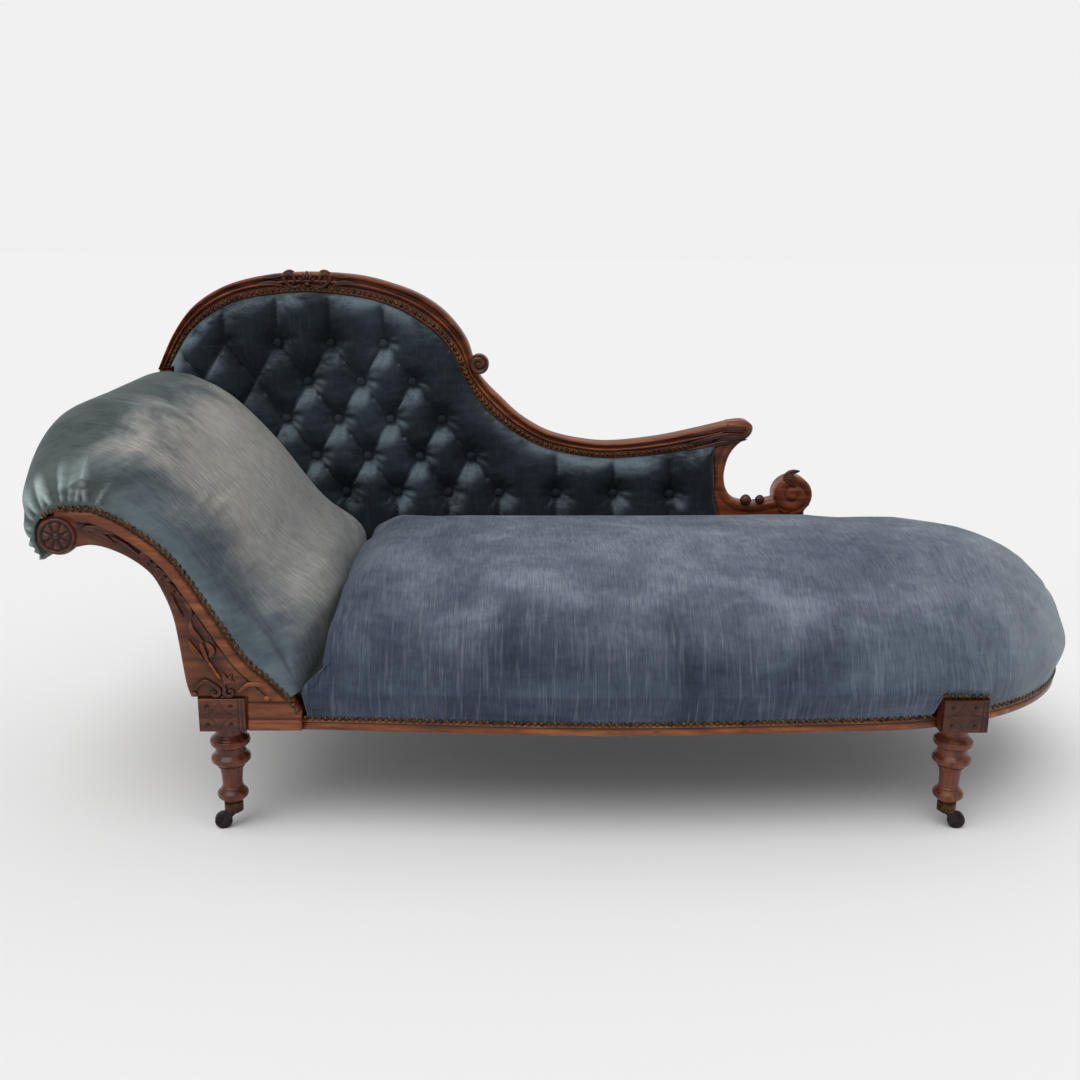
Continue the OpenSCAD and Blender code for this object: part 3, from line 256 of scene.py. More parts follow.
def fade(tree, value, low, high, start=0.0, end=1.0):
    return outOf(tree, "ShaderNodeMapRange", {"Value": value, "From Min": low, "From Max": high,
        "To Min": start, "To Max": end}, interpolation_type="SMOOTHSTEP")


def maths(tree, operation, a, b=0.5):
    return outOf(tree, "ShaderNodeMath", {0: a, 1: b}, operation=operation)


def times(tree, a, b):
    return maths(tree, "MULTIPLY", a, b)


def blendColours(tree, share, a, b, way="MIX"):
    return addNode(tree, "ShaderNodeMix", {0: share, 6: a, 7: b}, data_type="RGBA", blend_type=way).outputs[2]


def colourRamp(tree, value, stops):
    ramp = addNode(tree, "ShaderNodeValToRGB", {"Fac": value})
    points = ramp.color_ramp.elements
    while len(points) < len(stops):
        points.new(0.5)
    for point, (at, colour) in zip(points, stops):
        point.position = at
        point.color = linear(colour)
    return ramp.outputs["Color"]


def bump(tree, shader, heights):
    normal = None
    for height, strength, depth in heights:
        node = addNode(tree, "ShaderNodeBump", {"Height": height, "Strength": strength, "Distance": depth})
        if normal:
            tree.links.new(normal, node.inputs["Normal"])
        normal = node.outputs[0]
    tree.links.new(normal, shader.inputs["Normal"])


# Velvet: clouds of pile lying different ways, tints in given places (on the seat, painted shade on its lower
# sides), painted highlights where a mesh attribute marks them, with fine threads and slubs
velvetLook = {
    "finish": {"Roughness": 0.9, "Sheen Roughness": 0.35, "Sheen Tint": linear("#aeb8bd"),
        "Specular IOR Level": 0.15},
    "cloudSize": 5.5,        # how many clouds of brushed pile to a metre
    "markSize": 26.0,
    "weave": 700.0,
    "slubs": 190.0,
    "threadDark": "#20262c",
}


def makeVelvet(name, dark, middle, pale, tints=(), paintedSheen=None, sheen=0.35, threadStretch=(1.0, 1.0, 0.06)):
    look = velvetLook
    material, tree, shader = newMaterial(name, {**look["finish"], "Sheen Weight": sheen})
    place = objectPlace(tree)
    clouds = noise(tree, place, look["cloudSize"], 6.0, 0.58, 0.7)
    marks = noise(tree, objectPlace(tree, (1.0, 1.0, 2.6)), look["markSize"], 5.0, 0.65, 0.5)
    mixed = maths(tree, "ADD", times(tree, clouds, 0.68), times(tree, marks, 0.32))
    loose = maths(tree, "SUBTRACT", clouds, 0.5)
    colour = colourRamp(tree, mixed, [(0.34, dark), (0.5, middle), (0.66, pale)])
    parts = addNode(tree, "ShaderNodeSeparateXYZ", {0: place}).outputs
    for where, share, tintDark, tintPale, ragged in tints:
        for axis, low, high in where:
            value = maths(tree, "ADD", parts["XYZ".index(axis)], times(tree, loose, ragged))
            ends = (low, high, 0.0, 1.0) if low < high else (high, low, 1.0, 0.0)
            share = times(tree, share, fade(tree, value, *ends))
        tint = colourRamp(tree, mixed, [(0.34, tintDark), (0.66, tintPale)])
        colour = blendColours(tree, share, colour, tint)
    # Painted highlight: where the mesh attribute below is high, the colour turns paler, in clouds
    if paintedSheen:
        turned = addNode(tree, "ShaderNodeAttribute", attribute_name="paintedSheen").outputs["Fac"]
        share = times(tree, turned, fade(tree, mixed, 0.36, 0.6))
        colour = blendColours(tree, share, colour, linear(paintedSheen))
    threads = noise(tree, objectPlace(tree, threadStretch), look["weave"], 2.0, 0.5)
    slubs = noise(tree, objectPlace(tree, threadStretch), look["slubs"], 3.0, 0.6)
    # Where the pile faces along the threads' own axis they would turn into rings, so they fade out
    lookOut = addNode(tree, "ShaderNodeTexCoord").outputs["Normal"]
    turn = addNode(tree, "ShaderNodeSeparateXYZ", {0: lookOut}).outputs[threadStretch.index(1.0)]
    seen = fade(tree, times(tree, turn, turn), 0.12, 0.5, 1.0, 0.0)
    paler = times(tree, seen, fade(tree, slubs, 0.5, 0.7, 0.0, 0.26))
    darker = times(tree, seen, fade(tree, threads, 0.35, 0.65, 0.0, 0.35))
    colour = blendColours(tree, paler, colour, linear(pale))
    colour = blendColours(tree, darker, colour, linear(look["threadDark"]))
    tree.links.new(colour, shader.inputs["Base Color"])
    pile = noise(tree, place, look["weave"] * 0.4, 3.0, 0.6)
    bump(tree, shader, [(marks, 0.25, 0.002), (threads, 0.35, 0.0006), (pile, 0.3, 0.0006)])
    return material


# Polished wood: grain that flows along one axis, open pores, painted shade in what is hollow
woodLook = {
    "finish": {"Coat Weight": 0.12, "Coat Roughness": 0.18, "Specular IOR Level": 0.32},
    "flowSize": 9.0,
    "rings": {"Scale": 19.2, "Distortion": 7.0, "Detail": 3.0, "Detail Scale": 1.6, "Detail Roughness": 0.6},
    "grainSize": 90.0,
    "poreSize": 240.0,
    "stretch": {"X": (0.12, 1.0, 1.0), "Z": (1.0, 1.0, 0.12)},
}


def makeWood(name, dark, middle, pale, along="X", hollow="#1d0d08", polish=0.34):
    look = woodLook
    material, tree, shader = newMaterial(name, {**look["finish"], "Roughness": polish})
    place = objectPlace(tree, look["stretch"][along])
    flow = noise(tree, place, look["flowSize"], 4.0, 0.55, 0.8)
    figure = addNode(tree, "ShaderNodeTexWave", {"Vector": place, **look["rings"]},
        bands_direction="DIAGONAL").outputs["Fac"]
    grain = noise(tree, place, look["grainSize"], 5.0, 0.7)
    value = maths(tree, "ADD", times(tree, flow, 0.5),
        maths(tree, "ADD", times(tree, figure, 0.08), times(tree, grain, 0.42)))
    colour = colourRamp(tree, value, [(0.34, dark), (0.5, middle), (0.68, pale)])
    pores = noise(tree, place, look["poreSize"], 3.0, 0.6)
    colour = blendColours(tree, fade(tree, pores, 0.58, 0.72, 0.0, 0.6), colour, linear(hollow))
    # Painted shade: the hollow attribute darkens grooves, carvings and hidden faces towards the hollow colour
    depth = addNode(tree, "ShaderNodeAttribute", attribute_name="hollow").outputs["Fac"]
    colour = blendColours(tree, depth, colour, linear(hollow), "MULTIPLY")
    tree.links.new(colour, shader.inputs["Base Color"])
    worn = fade(tree, flow, 0.3, 0.7, polish - 0.06, polish + 0.12)
    dull = maths(tree, "ADD", worn, times(tree, depth, 0.25))
    tree.links.new(dull, shader.inputs["Roughness"])
    bump(tree, shader, [(grain, 0.12, 0.0006), (pores, 0.15, 0.0004)])
    return material


def makeMetal(name, dark, pale, metallic, roughness, spots):
    material, tree, shader = newMaterial(name, {"Metallic": metallic})
    place = objectPlace(tree)
    patina = noise(tree, place, spots, 4.0, 0.6, 0.3)
    tree.links.new(colourRamp(tree, patina, [(0.35, dark), (0.65, pale)]), shader.inputs["Base Color"])
    dull = fade(tree, patina, 0.3, 0.7, roughness + 0.15, roughness - 0.05)
    tree.links.new(dull, shader.inputs["Roughness"])
    bump(tree, shader, [(noise(tree, place, spots * 12, 3.0), 0.15, 0.0004)])
    return material


def makeCloth(name, dark, pale, threads):
    material, tree, shader = newMaterial(name, {"Roughness": 0.95, "Specular IOR Level": 0.1})
    place = objectPlace(tree)
    across, down = (addNode(tree, "ShaderNodeTexWave", {"Vector": place, "Scale": threads, "Distortion": 0.6,
        "Detail": 1.0}, bands_direction=axis).outputs["Fac"] for axis in "XY")
    weave = times(tree, across, down)
    worn = noise(tree, place, 8.0, 4.0)
    shade = maths(tree, "ADD", times(tree, weave, 0.5), times(tree, worn, 0.5))
    tree.links.new(colourRamp(tree, shade, [(0.2, dark), (0.7, pale)]), shader.inputs["Base Color"])
    bump(tree, shader, [(weave, 0.4, 0.0005)])
    return material


print("materials")
walnut = makeWood("polishedWalnut", "#3d1608", "#6c3115", "#9f5b2b")
goldenWalnut = makeWood("goldenWalnut", "#451e0c", "#773c1a", "#a76632")
carvedWalnut = makeWood("carvedWalnut", "#2c0f07", "#4c2112", "#784426", polish=0.3)
turnedWalnut = makeWood("turnedWalnut", "#31130b", "#57291a", "#824729", along="Z", polish=0.26)
beech = makeWood("frameBeech", "#8a6a45", "#b08a5e", "#cfae80", polish=0.6, hollow="#4a3520")
# Each tint says where it lies, its share, its dark and pale colour, and how ragged its edge is
seatVelvet = makeVelvet("seatVelvet", "#505868", "#6a7280", "#868f99", [
    ([("X", -0.05, -0.42)], 0.75, "#333a47", "#525967", 0.25),
    # Painted shade: the lower sides of the seat are darker than their top
    ([("Z", 0.42, 0.29)], 0.92, "#262d3b", "#465062", 0.09),
    ([("X", 0.2, 0.8), ("Z", 0.44, 0.3)], 0.65, "#535f6e", "#76828e", 0.12),
    ([("X", 0.62, 0.9)], 0.8, "#6b767f", "#939ca1", 0.2)], threadStretch=(1.0, 0.05, 0.05))
headVelvet = makeVelvet("headVelvet", "#454f57", "#5a656c", "#737e82", [
    ([("X", -0.68, -0.80)], 0.9, "#333b39", "#5a645f", 0.2),
    ([("X", -0.77, -0.68), ("Y", -0.34, -0.19)], 0.9, "#96938d", "#bab5ab", 0.22),
    ([("X", -0.60, -0.52)], 0.3, "#5c666e", "#808a90", 0.25)],
    # Painted highlight on the ridges of the gathers, in this pale colour
    paintedSheen="#a3b2b0", threadStretch=(0.05, 1.0, 0.05))
# Painted sheen on the faces of the puffs that turn up, in this pale colour
backVelvet = makeVelvet("backVelvet", "#12181d", "#20282f", "#364149", paintedSheen="#6a7880", sheen=0.3)
lining = makeCloth("darkLining", "#15141a", "#26242b", 900.0)
hessianCloth = makeCloth("hessian", "#7c6540", "#b59a6d", 500.0)
nailBrass = makeMetal("antiqueBrass", "#1c130e", "#6b5238", 0.9, 0.34, 180.0)
cupBrass = makeMetal("castorBrass", "#2a1a12", "#5d4228", 0.85, 0.4, 90.0)
castorIron = makeMetal("castorIron", "#120d0e", "#33262a", 0.6, 0.42, 120.0)
springSteel = makeMetal("springSteel", "#3a3a3c", "#8a8a8c", 0.9, 0.4, 80.0)


# Meshes
def giveValues(piece, name, values):
    layer = piece.data.attributes.new(name, "FLOAT", "POINT")
    layer.data.foreach_set("value", np.asarray(values, np.float32))


def placesOf(piece):
    return np.array([v.co for v in piece.data.vertices])


def makePiece(name, vertices, faces, material, hollow=None):
    mesh = bpy.data.meshes.new(name)
    mesh.from_pydata([tuple(v) for v in vertices], [], [tuple(int(i) for i in f) for f in faces])
    mesh.validate()
    mesh.polygons.foreach_set("use_smooth", [True] * len(mesh.polygons))
    mesh.materials.append(material)
    piece = bpy.data.objects.new(name, mesh)
    scene.collection.objects.link(piece)
    if hollow is not None:
        giveValues(piece, "hollow", hollow)
    return piece


def gridFaces(rows, columns, closed=False, start=0):
    faces = []
    for i in range(rows - 1):
        low, high = start + i * columns, start + (i + 1) * columns
        for j in range(columns if closed else columns - 1):
            k = (j + 1) % columns
            faces.append((low + j, low + k, high + k, high + j))
    return faces


def turnOutwards(piece):
    shape = bmesh.new()
    shape.from_mesh(piece.data)
    bmesh.ops.remove_doubles(shape, verts=shape.verts, dist=0.00002)
    wide = [f for f in shape.faces if len(f.verts) > 4]
    bmesh.ops.triangulate(shape, faces=wide, ngon_method="BEAUTY")
    bmesh.ops.recalc_face_normals(shape, faces=shape.faces)
    shape.to_mesh(piece.data)
    shape.free()


def applyModifiers(piece):
    graph = bpy.context.evaluated_depsgraph_get()
    made = bpy.data.meshes.new_from_object(piece.evaluated_get(graph), depsgraph=graph)
    piece.modifiers.clear()
    old = piece.data
    piece.data = made
    bpy.data.meshes.remove(old)


def finish(piece, node):
    applyModifiers(piece)
    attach(piece, "couch")
    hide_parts(node)
    return piece


def zipFaces(start, row, turnAt, byPlace):
    # The ring runs out to turnAt and back again, and its two sides close like a zip
    wide = len(row)
    there = row[:turnAt, 0] if byPlace else np.linspace(0, 1, turnAt)
    back = row[::-1][:wide - turnAt, 0] if byPlace else np.linspace(0, 1, wide - turnAt)
    i, j, faces = 0, 0, []
    while i < turnAt - 1 or j < wide - turnAt - 1:
        far = start + wide - 1 - j
        onward = j == wide - turnAt - 1 or (i < turnAt - 1 and there[i + 1] <= back[j + 1])
        faces.append((start + i, start + i + 1, far) if onward else (start + i, far - 1, far))
        i, j = (i + 1, j) if onward else (i, j + 1)
    return faces


def loft(name, rows, material, hollow=None, turnAt=None, byPlace=False):
    rows = np.asarray(rows, float)
    count, wide = rows.shape[:2]
    final = (count - 1) * wide
    faces = gridFaces(count, wide, True)
    if turnAt:
        faces += zipFaces(0, rows[0], turnAt, byPlace) + zipFaces(final, rows[-1], turnAt, byPlace)
    else:
        faces += [list(range(wide))[::-1], [final + j for j in range(wide)]]
    piece = makePiece(name, rows.reshape(-1, 3), faces, material, hollow)
    turnOutwards(piece)
    return piece


def fillOutline(outline, step):
    low, high = outline.min(axis=0), outline.max(axis=0)
    xs = np.arange(low[0] + step / 2, high[0], step)
    zs = np.arange(low[1] + step / 2, high[1], step * 0.87)
    points = np.array([(x + (step / 2 if j % 2 else 0), z) for j, z in enumerate(zs) for x in xs])
    ring = np.vstack([outline, outline[:1]])
    points = points[isInside(points, outline)]
    points = points[distanceTo(points, ring) > step * 0.5]
    every = [Vector(p) for p in np.vstack([outline, points])]
    count = len(outline)
    edges = [(i, (i + 1) % count) for i in range(count)]
    made = delaunay_2d_cdt(every, edges, [list(range(count))], 1, 1e-6)
    places = np.array([tuple(v) for v in made[0]])
    return places, [list(f) for f in made[2]]


def closedOutline(parts, step):
    whole = np.vstack(parts + [parts[0][:1]])
    keep = np.concatenate([[True], np.linalg.norm(np.diff(whole, axis=0), axis=1) > 1e-6])
    whole = whole[keep]
    count = max(8, int(lengthAlong(whole)[-1] / step))
    return evenLine(whole, count + 1)[:-1]


def slab(name, places, faces, face, back, material, hollow=None):
    # A filled outline with its face at the y of face and its flat rear at back, closed by a rim
    count = len(places)
    links = dict.fromkeys((a, b) for f in faces for a, b in zip(f, f[1:] + f[:1]))
    rim = [[b, a, a + count, b + count] for a, b in links if (b, a) not in links]
    vertices = [(x, y, z) for (x, z), y in zip(places, face)] + [(x, back, z) for x, z in places]
    rear = [[i + count for i in f[::-1]] for f in faces]
    piece = makePiece(name, vertices, faces + rear + rim, material, hollow)
    turnOutwards(piece)
    return piece


def carvedBoard(name, outline, step, front, back, relief, material, roundOver=0.003):
    # relief(points) gives how far the face stands out, and how much painted shade its hollows get
    places, faces = fillOutline(outline, step)
    out, hollow = relief(places)
    distance = distanceTo(places, np.vstack([outline, outline[:1]]))
    edge = np.clip(distance / roundOver, 0, 1)
    out = out - roundOver * (1 - np.sqrt(np.clip(1 - (1 - edge) ** 2, 0, 1)))
    dark = np.concatenate([hollow, np.zeros(len(places))])
    return slab(name, places, faces, front - out, back, material, dark)


def scrollHeight(points, centre, radius, turns, hand, start):
    away = points - np.array(centre)
    r = np.hypot(away[:, 0], away[:, 1])
    angle = np.arctan2(away[:, 1], away[:, 0]) * hand / (2 * math.pi)
    phase = (r * turns / radius - angle - start) % 1.0
    return np.maximum(bead(phase, 0.5, 0.5), 1.2 * bead(r, 0, 0.2 * radius)), r


# Simulation of a stuffed cover
stuffing = {
    "frames": 20,
    "cloth": {"quality": 5, "mass": 0.35, "tension_stiffness": 18.0, "compression_stiffness": 18.0,
        "shear_stiffness": 9.0, "bending_stiffness": 0.8, "vertex_group_mass": "held", "use_pressure": True},
}


def stuffCover(piece, held, pressure, cap):
    piece.vertex_groups.new(name="held").add([int(i) for i in np.where(held)[0]], 1.0, "REPLACE")
    rest = placesOf(piece)
    cloth = piece.modifiers.new("stuffing", "CLOTH")
    cloth.point_cache.frame_start = 1
    cloth.point_cache.frame_end = stuffing["frames"]
    for name, value in stuffing["cloth"].items():
        setattr(cloth.settings, name, value)
    cloth.settings.uniform_pressure_force = pressure
    cloth.settings.effector_weights.gravity = 0
    cloth.collision_settings.use_collision = False
    for number in range(1, stuffing["frames"] + 1):
        scene.frame_set(number)
    moved = placesOf(piece.evaluated_get(bpy.context.evaluated_depsgraph_get())) - rest
    far = np.linalg.norm(moved, axis=1, keepdims=True)
    moved *= np.minimum(1, cap / np.maximum(far, 1e-9))
    piece.modifiers.remove(cloth)
    piece.vertex_groups.clear()
    scene.frame_set(1)
    piece.data.vertices.foreach_set("co", (rest + moved).ravel())
    piece.data.update()
    print(f"  {piece.name} swelled by {float(far.max()) * 1000:.1f} mm at most")
    piece.modifiers.new("finer", "SUBSURF").levels = 1
    applyModifiers(piece)


# Plan of the seat frame
bowFrom = couch["headLegX"] + couch["blockWidth"] / 2
bowMiddle = (bowFrom + couch["footLegX"]) / 2
bowHalf = (couch["footLegX"] - bowFrom) / 2
footBlock0 = couch["footLegX"] - couch["blockWidth"] / 2
footBlock1 = couch["footLegX"] + couch["blockWidth"] / 2


def bow(x):
    inside = abs(x - bowMiddle) < bowHalf
    return couch["frontBow"] * math.cos(math.pi / 2 * (x - bowMiddle) / bowHalf) ** 2 if inside else 0.0


def frontAt(x, inset):
    return (x, couch["sideY"] + inset - bow(x))


def footAt(angle, inset):
    x = roundX + (couch["footRound"] - inset) * math.cos(math.radians(angle))
    y = midY + (halfWidth - inset) * math.sin(math.radians(angle))
    return (x, y - (bow(x) if angle < 0 else 0))


def footAngle(x, inset):
    return math.degrees(math.acos((x - roundX) / (couch["footRound"] - inset)))


def atBlock(x, side, inset):
    return footAt(side * footAngle(x, inset), inset)


skirtClear = 0.006
nearBlock = footAngle(footBlock0 - skirtClear, 0)
pastBlock = footAngle(footBlock1 + skirtClear, 0)
stepX = couch["backX1"] + skirtClear


def bowLine(inset, count=70):
    straight = [frontAt(x, inset) for x in np.linspace(couch["toeX"], roundX, count)]
    return np.array(straight + [footAt(a, inset) for a in np.linspace(-90, -nearBlock, 8)[1:]])


def endLine(inset, count=90):
    return np.array([footAt(a, inset) for a in np.linspace(-pastBlock, pastBlock, count)])


def stepLine(inset, count=8):
    return np.array([footAt(a, inset) for a in np.linspace(nearBlock, footAngle(stepX, 0), count)])


# Seat rails with a rounded show-wood bead
rail = {
    "section": [(0.0045, 0.0), (0.002, 0.0005), (0.0, 0.003), (-0.0004, 0.009), (0.0006, 0.0125),
        (0.0018, 0.0135), (0.0006, 0.0145), (0.0, 0.017), (0.0012, 0.019), (0.0035, 0.02)],
    # Painted shade in the groove of the bead, under the cover and on the hidden inner faces
    "dark": [0.3, 0.1, 0, 0, 0.5, 1, 0.5, 0, 0.2, 0.8, 1, 1, 1, 1],
}


def frontEdge(inset):
    return np.vstack([bowLine(inset), [atBlock(footBlock0, -1, inset)]])


def footEdge(inset):
    return np.vstack([[atBlock(footBlock1, -1, inset)], endLine(inset), [atBlock(footBlock1, 1, inset)]])


print("seat rails")
for name, edge, node in (("frontRailMoulding", frontEdge, "front_seat_rail"),
        ("footRailMoulding", footEdge, "foot_seat_rail")):
    low, top = couch["railBottom"], couch["railTop"]
    section = [(inset, low + height) for inset, height in rail["section"]]
    section += [(couch["railStep"], couch["beadTop"]), (couch["railStep"], top)]
    rows = []
    for face, inner in zip(edge(0), edge(couch["railThickness"])):
        across = (face - inner) / np.linalg.norm(face - inner)
        rows.append([(*(face - across * inset), z) for inset, z in section] + [(*inner, top), (*inner, low)])
    finish(loft(name, rows, goldenWalnut, np.tile(rail["dark"], len(rows))), node)


# Seat cover: columns round the plan, each crossing the dome towards a spine along its middle
seatCover = {
    "headWall": 0.040,
    "spineIn": 0.120,
    "footFull": 0.78,
    "flat": 0.0102,          # upright edge that carries the nails
    "over": 0.002,           # how far the cover passes over the sides of a leg block
    "cornerAt": 0.018,       # height over the rail from which its front corner draws in to the crease
    "cornerRise": 0.042,     # height over which it does so
    "cornerWide": 0.06,
    "heldTo": 0.014,         # height over the rail up to which it keeps its place when it swells
    "lift": 0.006,           # the stuffing is a little fuller towards the foot
    "pressure": 3.0,
    "cap": 0.010,
}
seatDome = couch["seatCrown"] - couch["railTop"]
domeShares = [(0, 0.29), (0.05, 0.48), (0.14, 0.65), (0.28, 0.8), (0.46, 0.9), (0.68, 0.97), (0.93, 1)]


def seatColumns():
    # A column holds its x, its y where it is free and over a leg block, its share of that, and if it bulges
    toeY = frontAt(couch["toeX"], 0)[1]
    over = seatCover["over"]
    blockBack = couch["backLegY"] + couch["blockDepth"] / 2
    blockXs = np.linspace(footBlock0 - over, footBlock1 + over, 9)
    edge = frontAt(couch["creaseX"], 0)[1]
    stepY = stepLine(0)[-1][1]
    columns = [[couch["toeX"] + hair, toeY, toeY, 0, 1]]
    columns += [[x, y, y, 0, 1] for x, y in bowLine(0)[1:]]
    columns += [[x, atBlock(x, -1, 0)[1], blockFront, 1, 1] for x in blockXs]
    columns += [[x, y, y, 0, 1] for x, y in endLine(0)]
    columns += [[x, atBlock(x, 1, 0)[1], blockBack, 1, 1] for x in blockXs[::-1]]
    columns += [[x, y, y, 0, 1] for x, y in stepLine(0)] + [[stepX - 0.001, stepY, stepY, 1, 1]]
    columns += [[x, couch["seatBackY"], couch["seatBackY"], 1, 0]
        for x in np.linspace(couch["backX1"], couch["creaseX"], 70)]
    columns += [[couch["creaseX"], y, y, 1, 0]
        for y in np.linspace(couch["seatBackY"], couch["sideY"], 50)[1:-1]]
    return columns + [[couch["creaseX"] + 0.001, edge, edge, 1, 1]]


def seatRings():
    # A ring holds how far it reaches in, its height where free and over a block, and its step past the head
    top, spring, beadTop = couch["railTop"], couch["springTop"], couch["beadTop"]
    wall, flat, bulge = seatCover["headWall"], seatCover["flat"], couch["seatBulge"]
    rings = [(share * halfWidth, spring + rise, spring + rise, wall)
        for share, rise in ((0.94, 0.0012), (0.5, 0.0006), (0.16, 0))]
    rings += [(couch["railThickness"] + 0.006, top + hair, top + hair, wall),
        (couch["railStep"] - 2 * hair, top + hair, top + hair, 0),
        (couch["railStep"] - 3 * hair, beadTop + hair, top + hair, 0), (hair, beadTop + hair, top + hair, 0)]
    rings += [(hair / 2, beadTop + flat * k, top + flat * k, 0) for k in (0.25, 0.6)]
    profile = [(0.0, beadTop + flat, top + flat), (-0.9 * bulge, top + 0.02 * seatDome, top + 0.1 * seatDome),
        (-bulge, top + 0.13 * seatDome, top + 0.17 * seatDome)]
    profile += [(s * halfWidth, top + h * seatDome, top + h * seatDome) for s, h in domeShares]
    return rings + [(*p, 0) for p in smoothLine(profile, 6)]


def widened(y):
    return midY + (y - midY) * halfWidth / (couch["seatBackY"] - midY) if y > midY else y


def seatPoint(column, ring):
    cx, free, over, blockShare, canBulge = column
    reachIn, zFree, zBlock, wall = ring
    top, flat = couch["railTop"], seatCover["flat"]
    hard = 1 - canBulge
    z = zFree + (zBlock - zFree) * blockShare
    lifted = min(max((z - top - seatCover["cornerAt"]) / seatCover["cornerRise"], 0), 1)
    edge = couch["toeX"] + hair + (couch["creaseX"] - couch["toeX"] + 0.004) * lifted
    x = max(cx, couch["creaseX"] + wall) if wall > 0 else cx
    atCorner = wall == 0 and canBulge and free < 0 and cx < couch["creaseX"] + seatCover["cornerWide"]
    if atCorner:
        x = max(cx, edge + 0.3 * (cx - couch["toeX"]))
    share = min(max((z - top - flat) / (domeShares[0][1] * seatDome - flat), 0), 1)
    y = frontAt(x, 0)[1] if atCorner else over + (free - over) * share
    inward = max(reachIn, 0)
    upper = inward < halfWidth / 2 and z > top + flat
    reach = inward * inward / (inward + seatCover["headWall"]) if hard and upper else reachIn
    start = np.array([x, widened(y) if hard and reachIn >= halfWidth / 2 else y])
    spineX0 = couch["creaseX"] + seatCover["spineIn"] + wall
    spineX1 = footX - seatCover["footFull"] * halfWidth
    spine = np.array([min(max(cx, spineX0), spineX1), midY])
    if reach < couch["railThickness"]:
        toward = spine - start
        q = start + toward / np.linalg.norm(toward) * reach
    else:
        q = start + (spine - start) * reach / halfWidth
    return (q[0], q[1], z)


print("seat cover")
seatMesh = np.array([[seatPoint(c, r) for c in seatColumns()] for r in seatRings()])
footward = smoothStep(seatMesh[:, :, 0], 0.1, 0.6)
raised = smoothStep(seatMesh[:, :, 2], 0.27, 0.36) * (1 - smoothStep(seatMesh[:, :, 2], 0.42, 0.436))
seatMesh[10:, :, 2] += (seatCover["lift"] * footward * raised)[10:]
seat = loft("seatCover", seatMesh, seatVelvet, turnAt=int(np.argmax(seatMesh[-1, :, 0])) + 1, byPlace=True)
places = placesOf(seat)
atRails = places[:, 2] < couch["railTop"] + seatCover["heldTo"]
underneath = np.abs(places[:, 2] - couch["springTop"]) < 0.002
middleIn = (np.abs(places[:, 1] - midY) < halfWidth * 0.86) & underneath
stuffCover(seat, atRails | middleIn, seatCover["pressure"], seatCover["cap"])
finish(seat, "seat_cushion")


# Head cover: full between the boards, gathered down to the nails over the roll
headCover = {
    "profilePoints": 130,
    "rowsOverRoll": 40,
    "rowsAcross": 46,
    "rollWidth": 0.260,
    "rounding": 0.7,
    "edge": 0.007,
    "rearShort": 0.007,      # how far the full part ends before the rear
    "rearFill": 0.93,
    "wrap": 0.004,           # the edge that is nailed on the facing
    "wrapOut": 0.0028,
    "wrapIn": 0.0022,
    "tuck": 0.0085,
    "folds": 14,
    "foldDepth": 0.0095,
    "foldReach": 0.058,
    "foldEnd": 0.27,
    "foldSpread": 0.12,
    "pressure": 2.0,
    "cap": 0.008,
    "seed": 5,
}
support = smoothLine([headPoint(s) for s in supportShares], 24)
rollLine = smoothLine([headPoint(s) for s in rollShares], 24)
rollLine[:, 0] = np.minimum(rollLine[:, 0], couch["creaseX"] - 2 * hair)
eye = headPoint(eyeShares)
along = lengthAlong(rollLine)
picks = np.interp(np.linspace(0, along[-1], headCover["profilePoints"]), along, np.arange(len(along)))


def picked(line):
    return pointsAt(line, picks, np.arange(len(line)))


def gatherFront(piece):
    # Gathers run back from the nails over the front of the roll, with painted highlights on their ridges
    places = placesOf(piece)
    normals = np.array([v.normal for v in piece.data.vertices])
    line = evenLine(support, 400)
    flat = places[:, [0, 2]]
    near = np.concatenate([np.argmin(((part[:, None] - line[None]) ** 2).sum(axis=2), axis=1)
        for part in np.array_split(flat, 12)])
    along = lengthAlong(line)
    away = np.hypot(np.linalg.norm(flat - line[near], axis=1), places[:, 1] - couch["faceY"])
    rng = np.random.default_rng(headCover["seed"])
    folds = np.zeros(len(flat))
    starts = np.linspace(0.0, headCover["foldEnd"], headCover["folds"])
    for at in starts + rng.uniform(-0.005, 0.005, headCover["folds"]):
        width = rng.uniform(0.0026, 0.0042)
        reach = headCover["foldReach"] * rng.uniform(0.7, 1.3)
        aside = along[near] - at * along[-1] - rng.uniform(-0.15, 0.15) * away
        folds += peak(aside, 0, width + 0.08 * away) * peak(away, 0, reach) * rng.uniform(0.7, 1.1)
    rise = smoothStep(away, 0.002, 0.009) * (places[:, 1] < couch["faceY"] + headCover["foldSpread"])
    outside = np.einsum("ij,ij->i", normals, places - np.array([eye[0], 0.0, eye[1]])) > 0
    gathered = 1 - smoothStep(along[near] / along[-1], headCover["foldEnd"], headCover["foldEnd"] + 0.09)
    depth = headCover["foldDepth"] * (folds - 0.5 * gathered * peak(away, 0, 0.05)) * rise * outside
    piece.data.vertices.foreach_set("co", (places + normals * depth[:, None]).ravel())
    # Painted highlight: the ridges of the gathers get a paler colour
    giveValues(piece, "paintedSheen", np.clip((folds - 0.3) * 1.5 * rise, 0, 1))
    piece.data.update()


